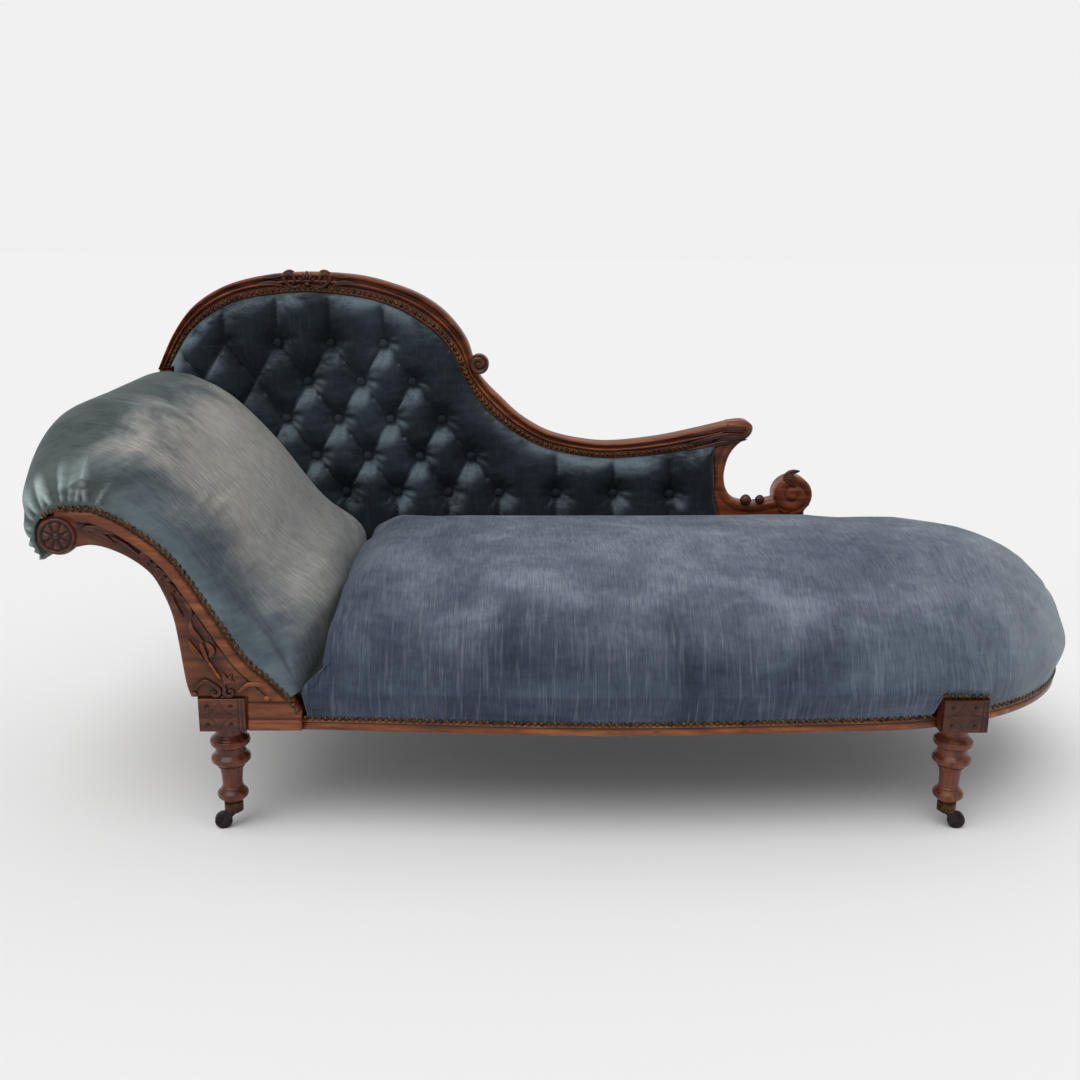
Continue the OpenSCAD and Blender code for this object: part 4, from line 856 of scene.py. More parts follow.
print("head cover")
edgeLine, fullLine = picked(shifted(support, headCover["edge"])), picked(rollLine)
innerLine = picked(shifted(support, hair))[::-4]
frontShare = np.linspace(0, 1, headCover["rowsOverRoll"]) ** 1.8
rollEnd = couch["faceY"] + headCover["rollWidth"]
fullYs = np.linspace(rollEnd, couch["headRear"] - headCover["rearShort"], headCover["rowsAcross"])[1:]
rowYs = [*(couch["faceY"] + frontShare * headCover["rollWidth"]), *fullYs, couch["headRear"]]
frontFill = (1 - (1 - frontShare) ** 2) ** headCover["rounding"]
rowFill = [*frontFill, *np.ones(len(fullYs)), headCover["rearFill"]]
wrapOut = picked(shifted(support, headCover["wrap"]))
tucked = hair - headCover["tuck"] * smoothStep(np.arange(len(picks)), 18, 24)
wrapIn = (picked(support) + outward(picked(support)) * tucked[:, None])[::-4]
headRows = [[(x, couch["faceY"] - headCover["wrapOut"], z) for x, z in wrapOut]
    + [(x, couch["faceY"] - headCover["wrapIn"], z) for x, z in wrapIn]]
for y, fill in zip(rowYs, rowFill):
    headRows.append([(x, y, z) for x, z in [*(edgeLine + (fullLine - edgeLine) * fill), *innerLine]])
head = loft("headCover", headRows, headVelvet, turnAt=len(picks))
places = placesOf(head)
nearSupport = distanceTo(places[:, [0, 2]], picked(support)) < 0.010
atEnds = (places[:, 1] < couch["faceY"] + 0.012) | (places[:, 1] > couch["headRear"] - 0.01)
stuffCover(head, nearSupport | atEnds, headCover["pressure"], headCover["cap"])
gatherFront(head)
finish(head, "headrest_cushion")


# Stuffed back: puffs between deep diamond pleats, then upright pleats along the low end
backCover = {
    "step": 0.0052,
    "puff": 0.038,
    "edge": 0.008,
    "roll": 0.046,           # width of the rounded edge
    "pleatFloor": 0.2,
    "dimple": 0.024,
    "pitch": 0.108,
    "armPitch": 0.121,
    "rowPitch": 0.078,
    "rowShift": 0.060,
    "wrinkle": 0.0016,
}
firstButton = backPoint((0.516, 0.297))
crestIn, crestOut, armIn, armOut = (smoothLine(backLine(s), 10)
    for s in (crestInShares, crestOutShares, armInShares, armOutShares))


def backEdge(share):
    # A line along the back frame, a share of the way from its inner to its outer edge
    return np.vstack([crestIn + (crestOut - crestIn) * share, (armIn + (armOut - armIn) * share)[1:]])


padLine = np.vstack([backEdge(0.19), [backPoint(s) for s in padRightShares]])
padOutline = closedOutline([padLine, backLine(padLeftShares)], 0.005)


def buttonPlaces():
    look = backCover
    rows = [(-3, 0), (-3, 0), (-3, 0), (-2, 0), (-2, 0)]
    x, z = firstButton
    spots = [(x + i * look["pitch"] - look["rowShift"] * k, z + look["rowPitch"] * k)
        for k, (first, final) in enumerate(rows) for i in range(first, final + 1)]
    return np.array(spots + [(x + i * look["armPitch"], z) for i in (1, 2, 3)])


def hump(t):
    return np.abs(np.sin(math.pi * t)) ** 0.38


def puffHeight(points):
    look = backCover
    u = points - np.array(firstButton)
    k = u[:, 1] / look["rowPitch"]
    drift = u[:, 0] + look["rowShift"] * np.clip(k, 0, 4)
    s = drift / look["pitch"]
    side = u[:, 0] / look["armPitch"]
    wide = look["armPitch"] + look["rowShift"] * np.clip(k, 0, 4)
    fan = smoothStep(k, 4.0, 4.3)
    above = hump(s) * (1 - fan) * hump(s - k) + hump(s) * fan
    h = np.where(k < 0, hump(s), np.where(k > 4, above, hump(s) * hump(s - k)))
    h = np.where(s > 0, np.where(side < 1, hump(drift / wide), hump(side)), h)
    best = np.full(len(points), 1e9)
    wrinkle = np.zeros(len(points))
    for n, spot in enumerate(buttonPlaces()):
        away = points - spot
        r = np.hypot(away[:, 0], away[:, 1])
        best = np.minimum(best, r)
        angle = np.arctan2(away[:, 1], away[:, 0])
        wrinkle += peak(r, 0.022, 0.016) * np.sin(9 * angle + 1.7 * n + 40 * r)
    full = (look["pleatFloor"] + (1 - look["pleatFloor"]) * h) * (1 - peak(best, 0, look["dimple"]))
    edge = np.clip(distanceTo(points, padLine) / look["roll"], 0, 1)
    rounded = np.sqrt(np.clip(1 - (1 - edge) ** 2, 0, 1))
    return look["edge"] + rounded * (look["puff"] * full + look["wrinkle"] * wrinkle)


print("back cover")
padPlaces, padFaces = fillOutline(padOutline, backCover["step"])
padY = couch["padY"]
back = slab("backCover", padPlaces, padFaces, padY - puffHeight(padPlaces), padY, backVelvet)
# Painted sheen: faces that turn up, and a little towards the head end, are paler
lean = np.array([v.normal.z - 0.5 * v.normal.x for v in back.data.vertices])
giveValues(back, "paintedSheen", smoothStep(lean, 0.1, 0.75))
finish(back, "back_pad")


# Back frame mouldings
moulding = {
    "section": [(0, 0.006), (0.16, 0.006), (0.2, -0.0035), (0.26, -0.0045), (0.48, -0.0045), (0.54, -0.003),
        (0.555, -0.0015), (0.575, -0.006), (0.61, -0.0095), (0.65, -0.0105), (0.69, -0.009), (0.72, -0.005),
        (0.76, -0.0035), (0.8, -0.004), (0.84, -0.0075), (0.88, -0.0098), (0.92, -0.0105), (0.96, -0.009),
        (0.99, -0.0045), (1.0, 0.001), (1.0, 0.03), (0.985, 0.0355), (0.96, 0.036), (0, 0.036)],
    # Painted shade along the section: on the land under the nails, in the quirk and in the coves
    "dark": [1, 1, 0.6, 0.2, 0.2, 0.6, 1, 0.5, 0.05, 0, 0.1, 0.6, 1, 0.6, 0.15, 0, 0, 0.05, 0.1, 0.15, 0.2,
        0.3, 0.3, 0.3],
    # How strong that painted shade is
    "paintedShade": 0.8,
}

print("back frame")
for name, inner, edge, node in (("crestMoulding", crestIn, crestOut, "back_crest_rail"),
        ("armMoulding", armIn, armOut, "back_arm_rail")):
    rows = [[(a[0] + (b[0] - a[0]) * share, couch["backY"] + depth, a[1] + (b[1] - a[1]) * share)
        for share, depth in moulding["section"]] for a, b in zip(inner, edge)]
    dark = moulding["paintedShade"] * np.tile(moulding["dark"], len(rows))
    finish(loft(name, rows, walnut, dark), node)


# Carved strokes: a stem or leaf along a path, standing out from a flat face
def stroke(path, width, height, groove=0.0, power=0.7, lean=1.0):
    line = evenLine(smoothLine(path, 8), 5 * len(path) + 4)
    share = lengthAlong(line) / lengthAlong(line)[-1]
    # Each ring crosses the stroke and closes at a last point behind the face
    full = np.sin(np.pi * np.clip(share, 0.002, 0.998) ** lean) ** power
    across = np.linspace(-1, 1, 9)
    dip = groove * peak(across, 0, 0.25)
    rise = np.append(np.sqrt(1 - across ** 2) * (1 - dip), -0.3)
    # Painted shade along the groove of the stroke and down its sides where it meets the face
    dark = np.append(np.clip(dip + 0.8 * np.abs(across) ** 6, 0, 1), 0.1)
    spread = np.append(across, 0.0)
    aside = spread[None, :, None] * width / 2 * full[:, None, None]
    places = line[:, None] + outward(line)[:, None] * aside
    heights = height * np.sqrt(full)[:, None] * rise[None]
    return np.stack([places[:, :, 0], -heights, places[:, :, 1]], axis=2), np.tile(dark, len(line))


def ball(centre, radius, height=1.0):
    x, z = centre
    return stroke([(x - radius, z), (x, z), (x + radius, z)], 2 * radius, height * radius, power=0.5)


def curl(centre, radius, turns, hand=1, start=0.0):
    t = np.linspace(0, 1, int(10 * turns) + 4)
    reach = radius * (1 - 0.8 * t)
    angle = math.radians(start) + hand * 2 * math.pi * turns * t
    return [(centre[0] + r * math.cos(a), centre[1] + r * math.sin(a)) for r, a in zip(reach, angle)]


def leafFan(root, reach, width, height, angles, bend=0.0):
    fan = []
    for angle in angles:
        a, b = math.radians(angle), math.radians(angle + bend)
        middle = (root[0] + 0.5 * reach * math.cos(a), root[1] + 0.5 * reach * math.sin(a))
        tip = (middle[0] + 0.5 * reach * math.cos(b), middle[1] + 0.5 * reach * math.sin(b))
        fan.append(stroke([root, middle, tip], width, height, 0.45, lean=0.8))
    return fan


def carve(name, strokes, front, material):
    vertices, faces, dark = [], [], []
    for rows, hollow in strokes:
        faces += gridFaces(rows.shape[0], rows.shape[1], True, len(vertices))
        vertices += [(x, front + y, z) for x, y, z in rows.reshape(-1, 3)]
        dark += list(hollow)
    piece = makePiece(name, vertices, faces, material, hollow=dark)
    turnOutwards(piece)
    return piece


def joinPieces(name, *pieces):
    joined = bmesh.new()
    for piece in pieces:
        joined.from_mesh(piece.data)
    joined.to_mesh(pieces[0].data)
    joined.free()
    pieces[0].data.polygons.foreach_set("use_smooth", [True] * len(pieces[0].data.polygons))
    for piece in pieces[1:]:
        bpy.data.objects.remove(piece)
    pieces[0].name = name
    return pieces[0]


# Scrolled board at the front of the head
facing = {
    "eyeRadius": 0.032,
    "step": 0.0028,
    "land": 0.0105,          # flat edge under the nails
    "band": 0.020,
    "bandRise": 0.0050,
    "fieldDrop": 0.0022,
    "toe": 0.0338,
    "apron": 0.0555,
}
facingTop = support[120:]
lowLine = smoothLine([headPoint(s) for s in underShares], 24)
toeTop = (couch["toeX"], couch["railBottom"] + facing["toe"])
facingOutline = closedOutline([facingTop, np.array([toeTop, (couch["toeX"], couch["railBottom"]),
    (bowFrom, couch["railBottom"]), (bowFrom, couch["railTop"]), (lowLine[0][0], couch["railTop"])]), lowLine,
    arc(eye, facing["eyeRadius"], -35, -263.5, 40)], 0.003)
carvedPath = np.array([(-0.79, 0.535), (-0.734, 0.513), (-0.6945, 0.481), (-0.673, 0.45), (-0.65, 0.417),
    (-0.627, 0.387), (-0.617, 0.35), (-0.602, 0.312), (-0.589, 0.283)])
kneePath = np.array([(-0.626, 0.272), (-0.613, 0.28), (-0.594, 0.258), (-0.574, 0.26), (-0.54, 0.276),
    (-0.507, 0.26)])


def facingRelief(points):
    x, z = points[:, 0], points[:, 1]
    inside = distanceTo(points, facingTop)
    fromEye = np.hypot(x - eye[0], z - eye[1])
    clear = smoothStep(fromEye, facing["eyeRadius"] - 0.002, facing["eyeRadius"] + 0.014)
    land, end = facing["land"], facing["land"] + facing["band"]
    out = facing["bandRise"] * bead(inside, land + facing["band"] / 2, facing["band"] / 2) * clear
    out -= facing["fieldDrop"] * smoothStep(inside, end - 0.001, end + 0.004) * clear
    groove = (peak(inside, land, 0.0016) + peak(inside, end, 0.002)) * clear
    nearCarving = np.minimum(distanceTo(points, carvedPath), distanceTo(points, kneePath))
    # Painted shade in the grooves and round the carvings; the field as a whole a little darker
    hollow = 0.9 * groove + 0.55 * peak(nearCarving, 0, 0.017) + 0.25 * smoothStep(inside, end, end + 0.01)
    height = z - couch["railBottom"]
    below = 1 - smoothStep(height, facing["apron"] - 0.004, facing["apron"])
    apron = (x > bowFrom) * below * smoothStep(inside, land, land + 0.004)
    shelf = 0.0035 * bead(height, 0.01, 0.01) + 0.002 * bead(height, 0.035, 0.0135)
    lines = peak(height, 0.0205, 0.0012) + peak(height, 0.05, 0.0014)
    out = (out - 0.0015 * groove) * (1 - apron) + apron * (shelf - 0.001 * lines)
    # Painted shade in the apron's incised lines; the apron a little darker above its lowest line
    hollow = hollow * (1 - apron) + apron * (0.9 * lines + 0.25 * (height > 0.021))
    return out, np.clip(hollow, 0, 1)


print("carved facing")
front = couch["faceY"]
board = carvedBoard("facingBoard", facingOutline, facing["step"], front, front + couch["facingThickness"],
    facingRelief, goldenWalnut)
field = front + facing["fieldDrop"] - 0.0004
spray = [stroke([(-0.6300, 0.384), (-0.6285, 0.366), (-0.6105, 0.345)], 0.0115, 0.006, 0.35),
    stroke([(-0.6360, 0.352), (-0.6285, 0.336), (-0.6125, 0.3165)], 0.0095, 0.0055, 0.35),
    stroke([(-0.6075, 0.346), (-0.5985, 0.333), (-0.6040, 0.319)], 0.0120, 0.0065, 0.25),
    stroke([(-0.6180, 0.350), (-0.6120, 0.330), (-0.6050, 0.310)], 0.0090, 0.0045, 0.35),
    stroke([(-0.6065, 0.316), (-0.5975, 0.300), (-0.5880, 0.283)], 0.0060, 0.0045, power=0.3)]
arch = [(-0.5600, 0.2615), (-0.5520, 0.2700), (-0.5400, 0.2765), (-0.5210, 0.2740), (-0.5067, 0.2600)]
rightArch = [stroke(arch, 0.0085, 0.0055, 0.3, 0.35), ball((-0.5142, 0.2520), 0.0052)]
board = joinPieces("facingBoard", board, carve("facingSpray", spray, field, carvedWalnut),
    carve("facingArch", rightArch, front - 0.0015, carvedWalnut))
finish(board, "front_scroll_facing")

drops = leafFan((-0.790, 0.534), 0.058, 0.016, 0.0055, (-6, -24), -6)
drops.append(stroke([(-0.745, 0.520), (-0.722, 0.507), (-0.700, 0.487)], 0.0055, 0.004, power=0.3))
for x, z, turn, reach in ((-0.701, 0.495, -50, 0.025), (-0.680, 0.470, -53, 0.024),
        (-0.664, 0.445, -58, 0.021)):
    drops += leafFan((x, z), reach, 0.0095, 0.0055, (turn - 17, turn, turn + 19), 6)
for path in ([(-0.657, 0.427), (-0.652, 0.405), (-0.640, 0.388)],
        [(-0.646, 0.426), (-0.634, 0.412), (-0.626, 0.389)]):
    drops.append(stroke(path, 0.0095, 0.0055, 0.2))
finish(carve("facingDrops", drops, field, carvedWalnut), "facing_husks")

leftScroll = [(-0.6300, 0.2630), (-0.6240, 0.2730), (-0.6130, 0.2800), (-0.6020, 0.2740)]
leftScroll += curl((-0.5985, 0.2605), 0.0090, 0.9, -1, 50)
rightScroll = [(-0.5660, 0.2800), (-0.5820, 0.2760)] + curl((-0.5745, 0.2610), 0.0092, 1.0, 1, 150)
knee = [stroke(leftScroll, 0.0085, 0.0058, 0.3, 0.3), stroke(rightScroll, 0.0080, 0.0058, 0.3, 0.3),
    ball((-0.6312, 0.2575), 0.0052), ball((-0.5985, 0.2605), 0.0030), ball((-0.5745, 0.2610), 0.0030),
    ball((-0.5866, 0.2520), 0.0035), *leafFan((-0.5790, 0.2740), 0.022, 0.009, 0.0045, (60, 100), 10)]
finish(carve("kneeScrolls", knee, field, carvedWalnut), "knee_scrolls")


# Rosette in the eye of the scroll
rosette = {"radius": 0.030, "petals": 8, "step": 0.0016}


def rosetteRelief(points):
    away = points - np.array(eye)
    r = np.hypot(away[:, 0], away[:, 1]) / rosette["radius"]
    petal = np.abs(np.cos(rosette["petals"] / 2 * np.arctan2(away[:, 1], away[:, 0]))) ** 0.7
    petals = bead(r, 0.48, 0.28) * petal
    out = 0.005 * petals + 0.0055 * bead(r, 0.0, 0.2) + 0.0035 * bead(r, 0.89, 0.1)
    # Painted shade between the petals
    return out, np.clip(np.where((r > 0.18) & (r < 0.8), 1 - petals, 0.1), 0, 1)


finish(carvedBoard("rosette", arc(eye, rosette["radius"], 0, 360, 97)[:-1], rosette["step"], front - 0.003,
    front, rosetteRelief, carvedWalnut, 0.0015), "facing_eye")


# Tablets over the front legs
tablet = {
    "width": 0.076,
    "height": 0.057,
    "board": 0.009,
    "star": 0.0030,
    "step": 0.0013,
    "roundOver": 0.0018,
}


def tabletRelief(centre):
    def relief(points):
        u = (points[:, 0] - centre[0]) / (tablet["width"] / 2)
        v = (points[:, 1] - centre[1]) / (tablet["height"] / 2)
        star = np.abs((u + 0.12) / 0.78) ** 0.62 + np.abs(v / 0.88) ** 0.62
        out = tablet["star"] * np.clip(1.05 - star, 0, 1) ** 0.55
        # Painted shade round the edge of the star, in the dimples and in the incised lines
        hollow = 0.55 * peak(star, 1.05, 0.07)
        for cx, cz in ((-0.62, -0.56), (-0.62, 0.56), (0.38, -0.56), (0.38, 0.56)):
            r = np.hypot((u - cx) * tablet["width"] / 2, (v - cz) * tablet["height"] / 2)
            out += 0.0011 * peak(r, 0.0062, 0.0022) - 0.0022 * peak(r, 0, 0.0030)
            hollow += peak(r, 0, 0.0034)
        for line in (0.70, 0.86):
            dip = peak(u, line, 0.035) * (np.abs(v) < 0.93)
            out -= 0.0014 * dip
            hollow += 0.8 * dip
        return out, np.clip(hollow, 0, 1)
    return relief


z = (couch["railBottom"] + couch["railTop"]) / 2
w, h = tablet["width"] / 2, tablet["height"] / 2
for name, x, node in (("headTablet", couch["headLegX"], "tablet_head"),
        ("footTablet", couch["footLegX"], "tablet_foot")):
    corners = np.array([(x - w, z - h), (x + w, z - h), (x + w, z + h), (x - w, z + h)])
    finish(carvedBoard(name, closedOutline([corners], 0.0019), tablet["step"], blockFront - tablet["board"],
        blockFront, tabletRelief((x, z)), carvedWalnut, tablet["roundOver"]), node)


# Low end of the back: an S-curved post with a large spiral scroll
stump = {"scroll": 0.042, "turns": 1.9, "rise": 0.0045, "land": 0.004, "step": 0.0034}
scrollAt = backPoint(scrollShares)
tipLine = smoothLine(backLine(tipShares), 10)
tipLine = tipLine[np.hypot(*(tipLine - scrollAt).T) > stump["scroll"] + 0.001]
scrollStart = math.degrees(math.atan2(tipLine[-1][1] - scrollAt[1], tipLine[-1][0] - scrollAt[0])) % 360
stumpEnd = couch["backX1"] - stump["scroll"] / 4
stumpOutline = closedOutline([tipLine, arc(scrollAt, stump["scroll"], scrollStart, -50.4, 50),
    np.array([(stumpEnd, couch["railTop"]), (backPoint((0.864, 0))[0], couch["railTop"])]),
    backLine([*padRightShares[::-1], (0.842, 0.43)])], 0.003)


def stumpRelief(points):
    ridge, r = scrollHeight(points, scrollAt, stump["scroll"], stump["turns"], -1, 0.3)
    fromTip = distanceTo(points, tipLine)
    post = 0.003 * bead(fromTip, 0.009, 0.009) + 0.0012 * (fromTip > 0.018)
    line = peak(fromTip, 0.0185, 0.0016)
    inScroll = r < stump["scroll"] * 0.985
    out = np.where(inScroll, stump["rise"] * ridge + 0.002, post - 0.001 * line)
    # Painted shade in the grooves of the scroll and in the line beside the post
    hollow = np.where(inScroll, 1 - np.clip(ridge, 0, 1) ** 0.5, 0.8 * line)
    return out, np.clip(hollow, 0, 1) * (1 - 0.3 * smoothStep(r, stump["scroll"] * 0.9, stump["scroll"]))


print("end of the back")
postFace = couch["backY"] - stump["land"]
finish(carvedBoard("endPost", stumpOutline, stump["step"], postFace, couch["rearY"], stumpRelief, walnut,
    0.004), "back_end_stump")
lumps = [ball(backPoint((0.899, 0.275)), 0.0125, 0.8), ball(backPoint((0.921, 0.277)), 0.0105, 0.8)]
lumps += leafFan(backPoint((0.955, 0.352)), 0.040, 0.013, 0.007, (-30, 0, 32), -20)
finish(carve("endLeaves", lumps, postFace - 0.002, carvedWalnut), "end_scroll_leaves")
tipLeaves = []
armEdges = [(np.array([*armInShares, (0.9, 0.47)]), 0.895), (np.array([*armOutShares, (0.905, 0.522)]), 0.9)]
for start, away in ((0.80, 0.2), (0.80, 0.5), (0.80, 0.8), (0.845, 0.35), (0.845, 0.7)):
    low, high = (np.interp(np.linspace(start, end, 4), edge[:, 0], edge[:, 1]) for edge, end in armEdges)
    path = backLine(zip(np.linspace(start, 0.897, 4), low + (high - low) * away))
    tipLeaves.append(stroke(path, 0.0125, 0.0065, 0.3, lean=1.2))
finish(carve("armLeaf", tipLeaves, couch["backY"] - 0.0055, carvedWalnut), "arm_end_leaf")

# Volute on the shoulder of the crest
volute = {"radius": 0.0205, "turns": 1.75, "rise": 0.0055, "step": 0.0013}
voluteAt = backPoint(voluteShares)


def voluteRelief(points):
    ridge, r = scrollHeight(points, voluteAt, volute["radius"], volute["turns"], 1, 0.15)
    # Painted shade in the groove of the spiral
    return volute["rise"] * ridge, np.clip(1 - ridge ** 0.6, 0, 1)


finish(carvedBoard("shoulderVolute", arc(voluteAt, volute["radius"], 0, 360, 73)[:-1], volute["step"],
    couch["backY"] - 0.0125, couch["backY"] + 0.01, voluteRelief, carvedWalnut, 0.002),
    "shoulder_volute")

# Cartouche at the top of the crest, drawn along its line as (length from the top, width across)
crestMiddle = crestIn + (crestOut - crestIn) * 0.74
crestLength = lengthAlong(crestMiddle)
crestTop = crestLength[int(np.argmax(crestMiddle[:, 1]))]


def onCrest(points):
    p = np.array(points)
    at, ahead = (pointsAt(crestMiddle, crestTop + p[:, 0] + step, crestLength) for step in (0, 0.002))
    way = (ahead - at) / np.linalg.norm(ahead - at, axis=1, keepdims=True)
    return at + np.stack([-way[:, 1], way[:, 0]], axis=1) * p[:, 1:]


crestCurl = [(0.012, -0.013), (0.030, -0.016), (0.044, -0.004)]
crestCurl += [(0.036 + 0.011 * math.cos(a), 0.011 * math.sin(a)) for a in np.linspace(0.3, 4.6, 9)]
crestLeaves = ((crestCurl, 0.0085, 0.0062, 0.3, 0.35),
    ([(0.050, -0.012), (0.075, -0.004), (0.115, -0.004)], 0.012, 0.0055, 0.4, 0.7, 0.7),
    ([(0.046, 0.010), (0.070, 0.008), (0.098, 0.010)], 0.010, 0.0050, 0.4, 0.7, 0.7),
    ([(0.024, 0.014), (0.034, 0.016), (0.048, 0.013)], 0.007, 0.0045, 0.2))
cartouche = [stroke(onCrest([(side * u, v) for u, v in path]), *shape)
    for side in (-1, 1) for path, *shape in crestLeaves]
for angle in (30, 60, 90, 120, 150):
    a = math.radians(angle)
    reaches = ((0.005, 0.005), (0.013, 0.015), (0.019, 0.026))
    path = onCrest([(wide * math.cos(a), -0.010 + high * math.sin(a)) for wide, high in reaches])
    cartouche.append(stroke(path, 0.0085, 0.0065, 0.3, lean=1.3))
cartouche.append(stroke(onCrest([(-0.006, -0.011), (0.0, -0.011), (0.006, -0.011)]), 0.011, 0.007, power=0.5))
carving = carve("crestCartouche", cartouche, couch["backY"] - 0.0065, carvedWalnut)
finish(carving, "crest_carving")


def noRelief(points):
    return np.zeros(len(points)), np.zeros(len(points))


uprightLeft, uprightRight = backLine(uprightLeftShares), backLine(uprightRightShares)
uprightOutline = closedOutline([smoothLine(uprightLeft, 8), smoothLine(uprightRight, 8)[::-1]], 0.006)
finish(carvedBoard("headUpright", uprightOutline, 0.007, couch["backY"], couch["rearY"], noRelief, walnut,
    0.007), "back_head_upright")


# Rules for what repeats, as node groups with named inputs
def newGroup(name, inputs):
    group = bpy.data.node_groups.new(name, "GeometryNodeTree")
    group.interface.new_socket("Geometry", in_out="INPUT", socket_type="NodeSocketGeometry")
    for label, kind, value in inputs:
        socket = group.interface.new_socket(label, in_out="INPUT", socket_type=kind)
        if value is not None:
            socket.default_value = value
    group.interface.new_socket("Geometry", in_out="OUTPUT", socket_type="NodeSocketGeometry")
    return group, addNode(group, "NodeGroupInput").outputs


def grown(name, places, group, values, axes=None):
    mesh = bpy.data.meshes.new(name)
    mesh.from_pydata([tuple(p) for p in places], [], [])
    if axes is not None:
        ways = mesh.attributes.new("axis", "FLOAT_VECTOR", "POINT")
        ways.data.foreach_set("vector", np.array(axes, np.float32).ravel())
    piece = bpy.data.objects.new(name, mesh)
    scene.collection.objects.link(piece)
    rule = piece.modifiers.new("rule", "NODES")
    rule.node_group = group
    for socket in group.interface.items_tree:
        if socket.in_out == "INPUT" and socket.name in values:
            rule[socket.identifier] = values[socket.name]
    applyModifiers(piece)
    return piece


def makeStudRule():
    group, given = newGroup("domedStuds", [("Radius", "NodeSocketFloat", 0.0046),
        ("Dome", "NodeSocketFloat", 0.6), ("Unevenness", "NodeSocketFloat", 0.04),
        ("Sides", "NodeSocketInt", 16), ("Seed", "NodeSocketInt", 3),
        ("Material", "NodeSocketMaterial", None)])
    size = outOf(group, "ShaderNodeCombineXYZ", {0: 1.0, 1: 1.0, 2: given["Dome"]})
    globe = outOf(group, "GeometryNodeMeshUVSphere", {"Segments": given["Sides"], "Rings": 10, "Radius": 1.0})
    dome = outOf(group, "GeometryNodeTransform", {"Geometry": globe, "Scale": size})
    axis = outOf(group, "GeometryNodeInputNamedAttribute", {"Name": "axis"}, data_type="FLOAT_VECTOR")
    turned = outOf(group, "FunctionNodeAlignRotationToVector", {"Vector": axis}, axis="Z")
    chance = addNode(group, "FunctionNodeRandomValue", {"Min": -1.0, "Max": 1.0, "Seed": given["Seed"]},
        data_type="FLOAT").outputs[1]
    uneven = outOf(group, "ShaderNodeMath", {0: chance, 1: given["Unevenness"], 2: 1.0},
        operation="MULTIPLY_ADD")
    studs = outOf(group, "GeometryNodeInstanceOnPoints", {"Points": given["Geometry"], "Instance": dome,
        "Rotation": turned, "Scale": times(group, uneven, given["Radius"])})
    real = outOf(group, "GeometryNodeRealizeInstances", {0: studs})
    smooth = outOf(group, "GeometryNodeSetShadeSmooth", {0: real})
    shown = outOf(group, "GeometryNodeSetMaterial", {"Geometry": smooth, "Material": given["Material"]})
    addNode(group, "NodeGroupOutput", {0: shown})
    return group


def spaced(line, pitch):
    length = lengthAlong(line)[-1]
    count = int(length / pitch)
    at = (np.arange(count) + 0.5) * length / count
    way = pointsAt(line, at + pitch / 4) - pointsAt(line, at - pitch / 4)
    return pointsAt(line, at), way / np.linalg.norm(way, axis=1, keepdims=True)


def onFace(line, y):
    # Nails along a line on an upright face
    places = spaced(line, couch["nailPitch"])[0]
    return [(x, y, z) for x, z in places], [(0, -1, 0)] * len(places)


print("nails and buttons")
studRule = makeStudRule()
nailLook = {"Radius": couch["nailRadius"], "Dome": 0.62, "Material": nailBrass}
seatNails, seatAxes = [], []
for line in (bowLine(0), endLine(0), stepLine(0)):
    for (x, y), (wx, wy) in zip(*spaced(line, couch["nailPitch"])):
        seatNails.append((x, y, couch["beadTop"] + 0.0015))
        seatAxes.append((wy, -wx, 0))
onBlock = couch["railTop"] + couch["nailRadius"]
blockNails, blockAxes = onFace(np.array([(footBlock0, onBlock), (footBlock1, onBlock)]), blockFront)
facingLine = shifted(np.vstack([support[96:], [toeTop]]), -couch["nailRadius"])
for name, seed, places, axes, node in (
        ("seatNails", 1, seatNails + blockNails, seatAxes + blockAxes, "seat_nails"),
        ("facingNails", 2, *onFace(facingLine, couch["faceY"] - 0.0032), "facing_nails"),
        ("backNails", 3, *onFace(backEdge(0.37), couch["backY"] - 0.0045), "back_nails")):
    finish(grown(name, places, studRule, {**nailLook, "Seed": seed}, axes), node)
buttons = [(x, couch["padY"] - h - 0.009, z) for (x, z), h in zip(buttonPlaces(), puffHeight(buttonPlaces()))]
buttonLook = {"Radius": 0.0095, "Dome": 0.62, "Unevenness": 0.05, "Sides": 24, "Seed": 4,
    "Material": backVelvet}
finish(grown("backButtons", buttons, studRule, buttonLook, [(0, -1, 0)] * len(buttons)),
    "back_buttons")


# Turned legs: one rule sweeps a radius that follows a profile from the castor up to the block
leg = {
    "low": 0.034,
    "ring": 0.033,
    # Share of the height, share of the ring radius, and 1 where the turning has a crisp edge
    "profile": [(0, 0.41, 1), (0.1, 0.41, 1), (0.115, 0.5, 1), (0.14, 0.65, 0), (0.185, 0.775, 0),
        (0.23, 0.65, 0), (0.25, 0.53, 1), (0.262, 0.56, 0), (0.275, 0.5, 1), (0.38, 0.52, 0),
        (0.495, 0.59, 1), (0.5, 0.64, 0), (0.512, 0.69, 0), (0.524, 0.64, 1), (0.535, 0.69, 1),
        (0.56, 0.9, 0), (0.6, 0.985, 0), (0.64, 0.88, 0), (0.662, 0.79, 1), (0.675, 0.76, 1),
        (0.72, 0.75, 0), (0.735, 0.77, 1), (0.75, 0.88, 0), (0.795, 1.0, 0), (0.84, 0.88, 0),
        (0.862, 0.78, 1), (0.875, 0.74, 1), (0.89, 0.7, 0), (1, 0.7, 1)],
}


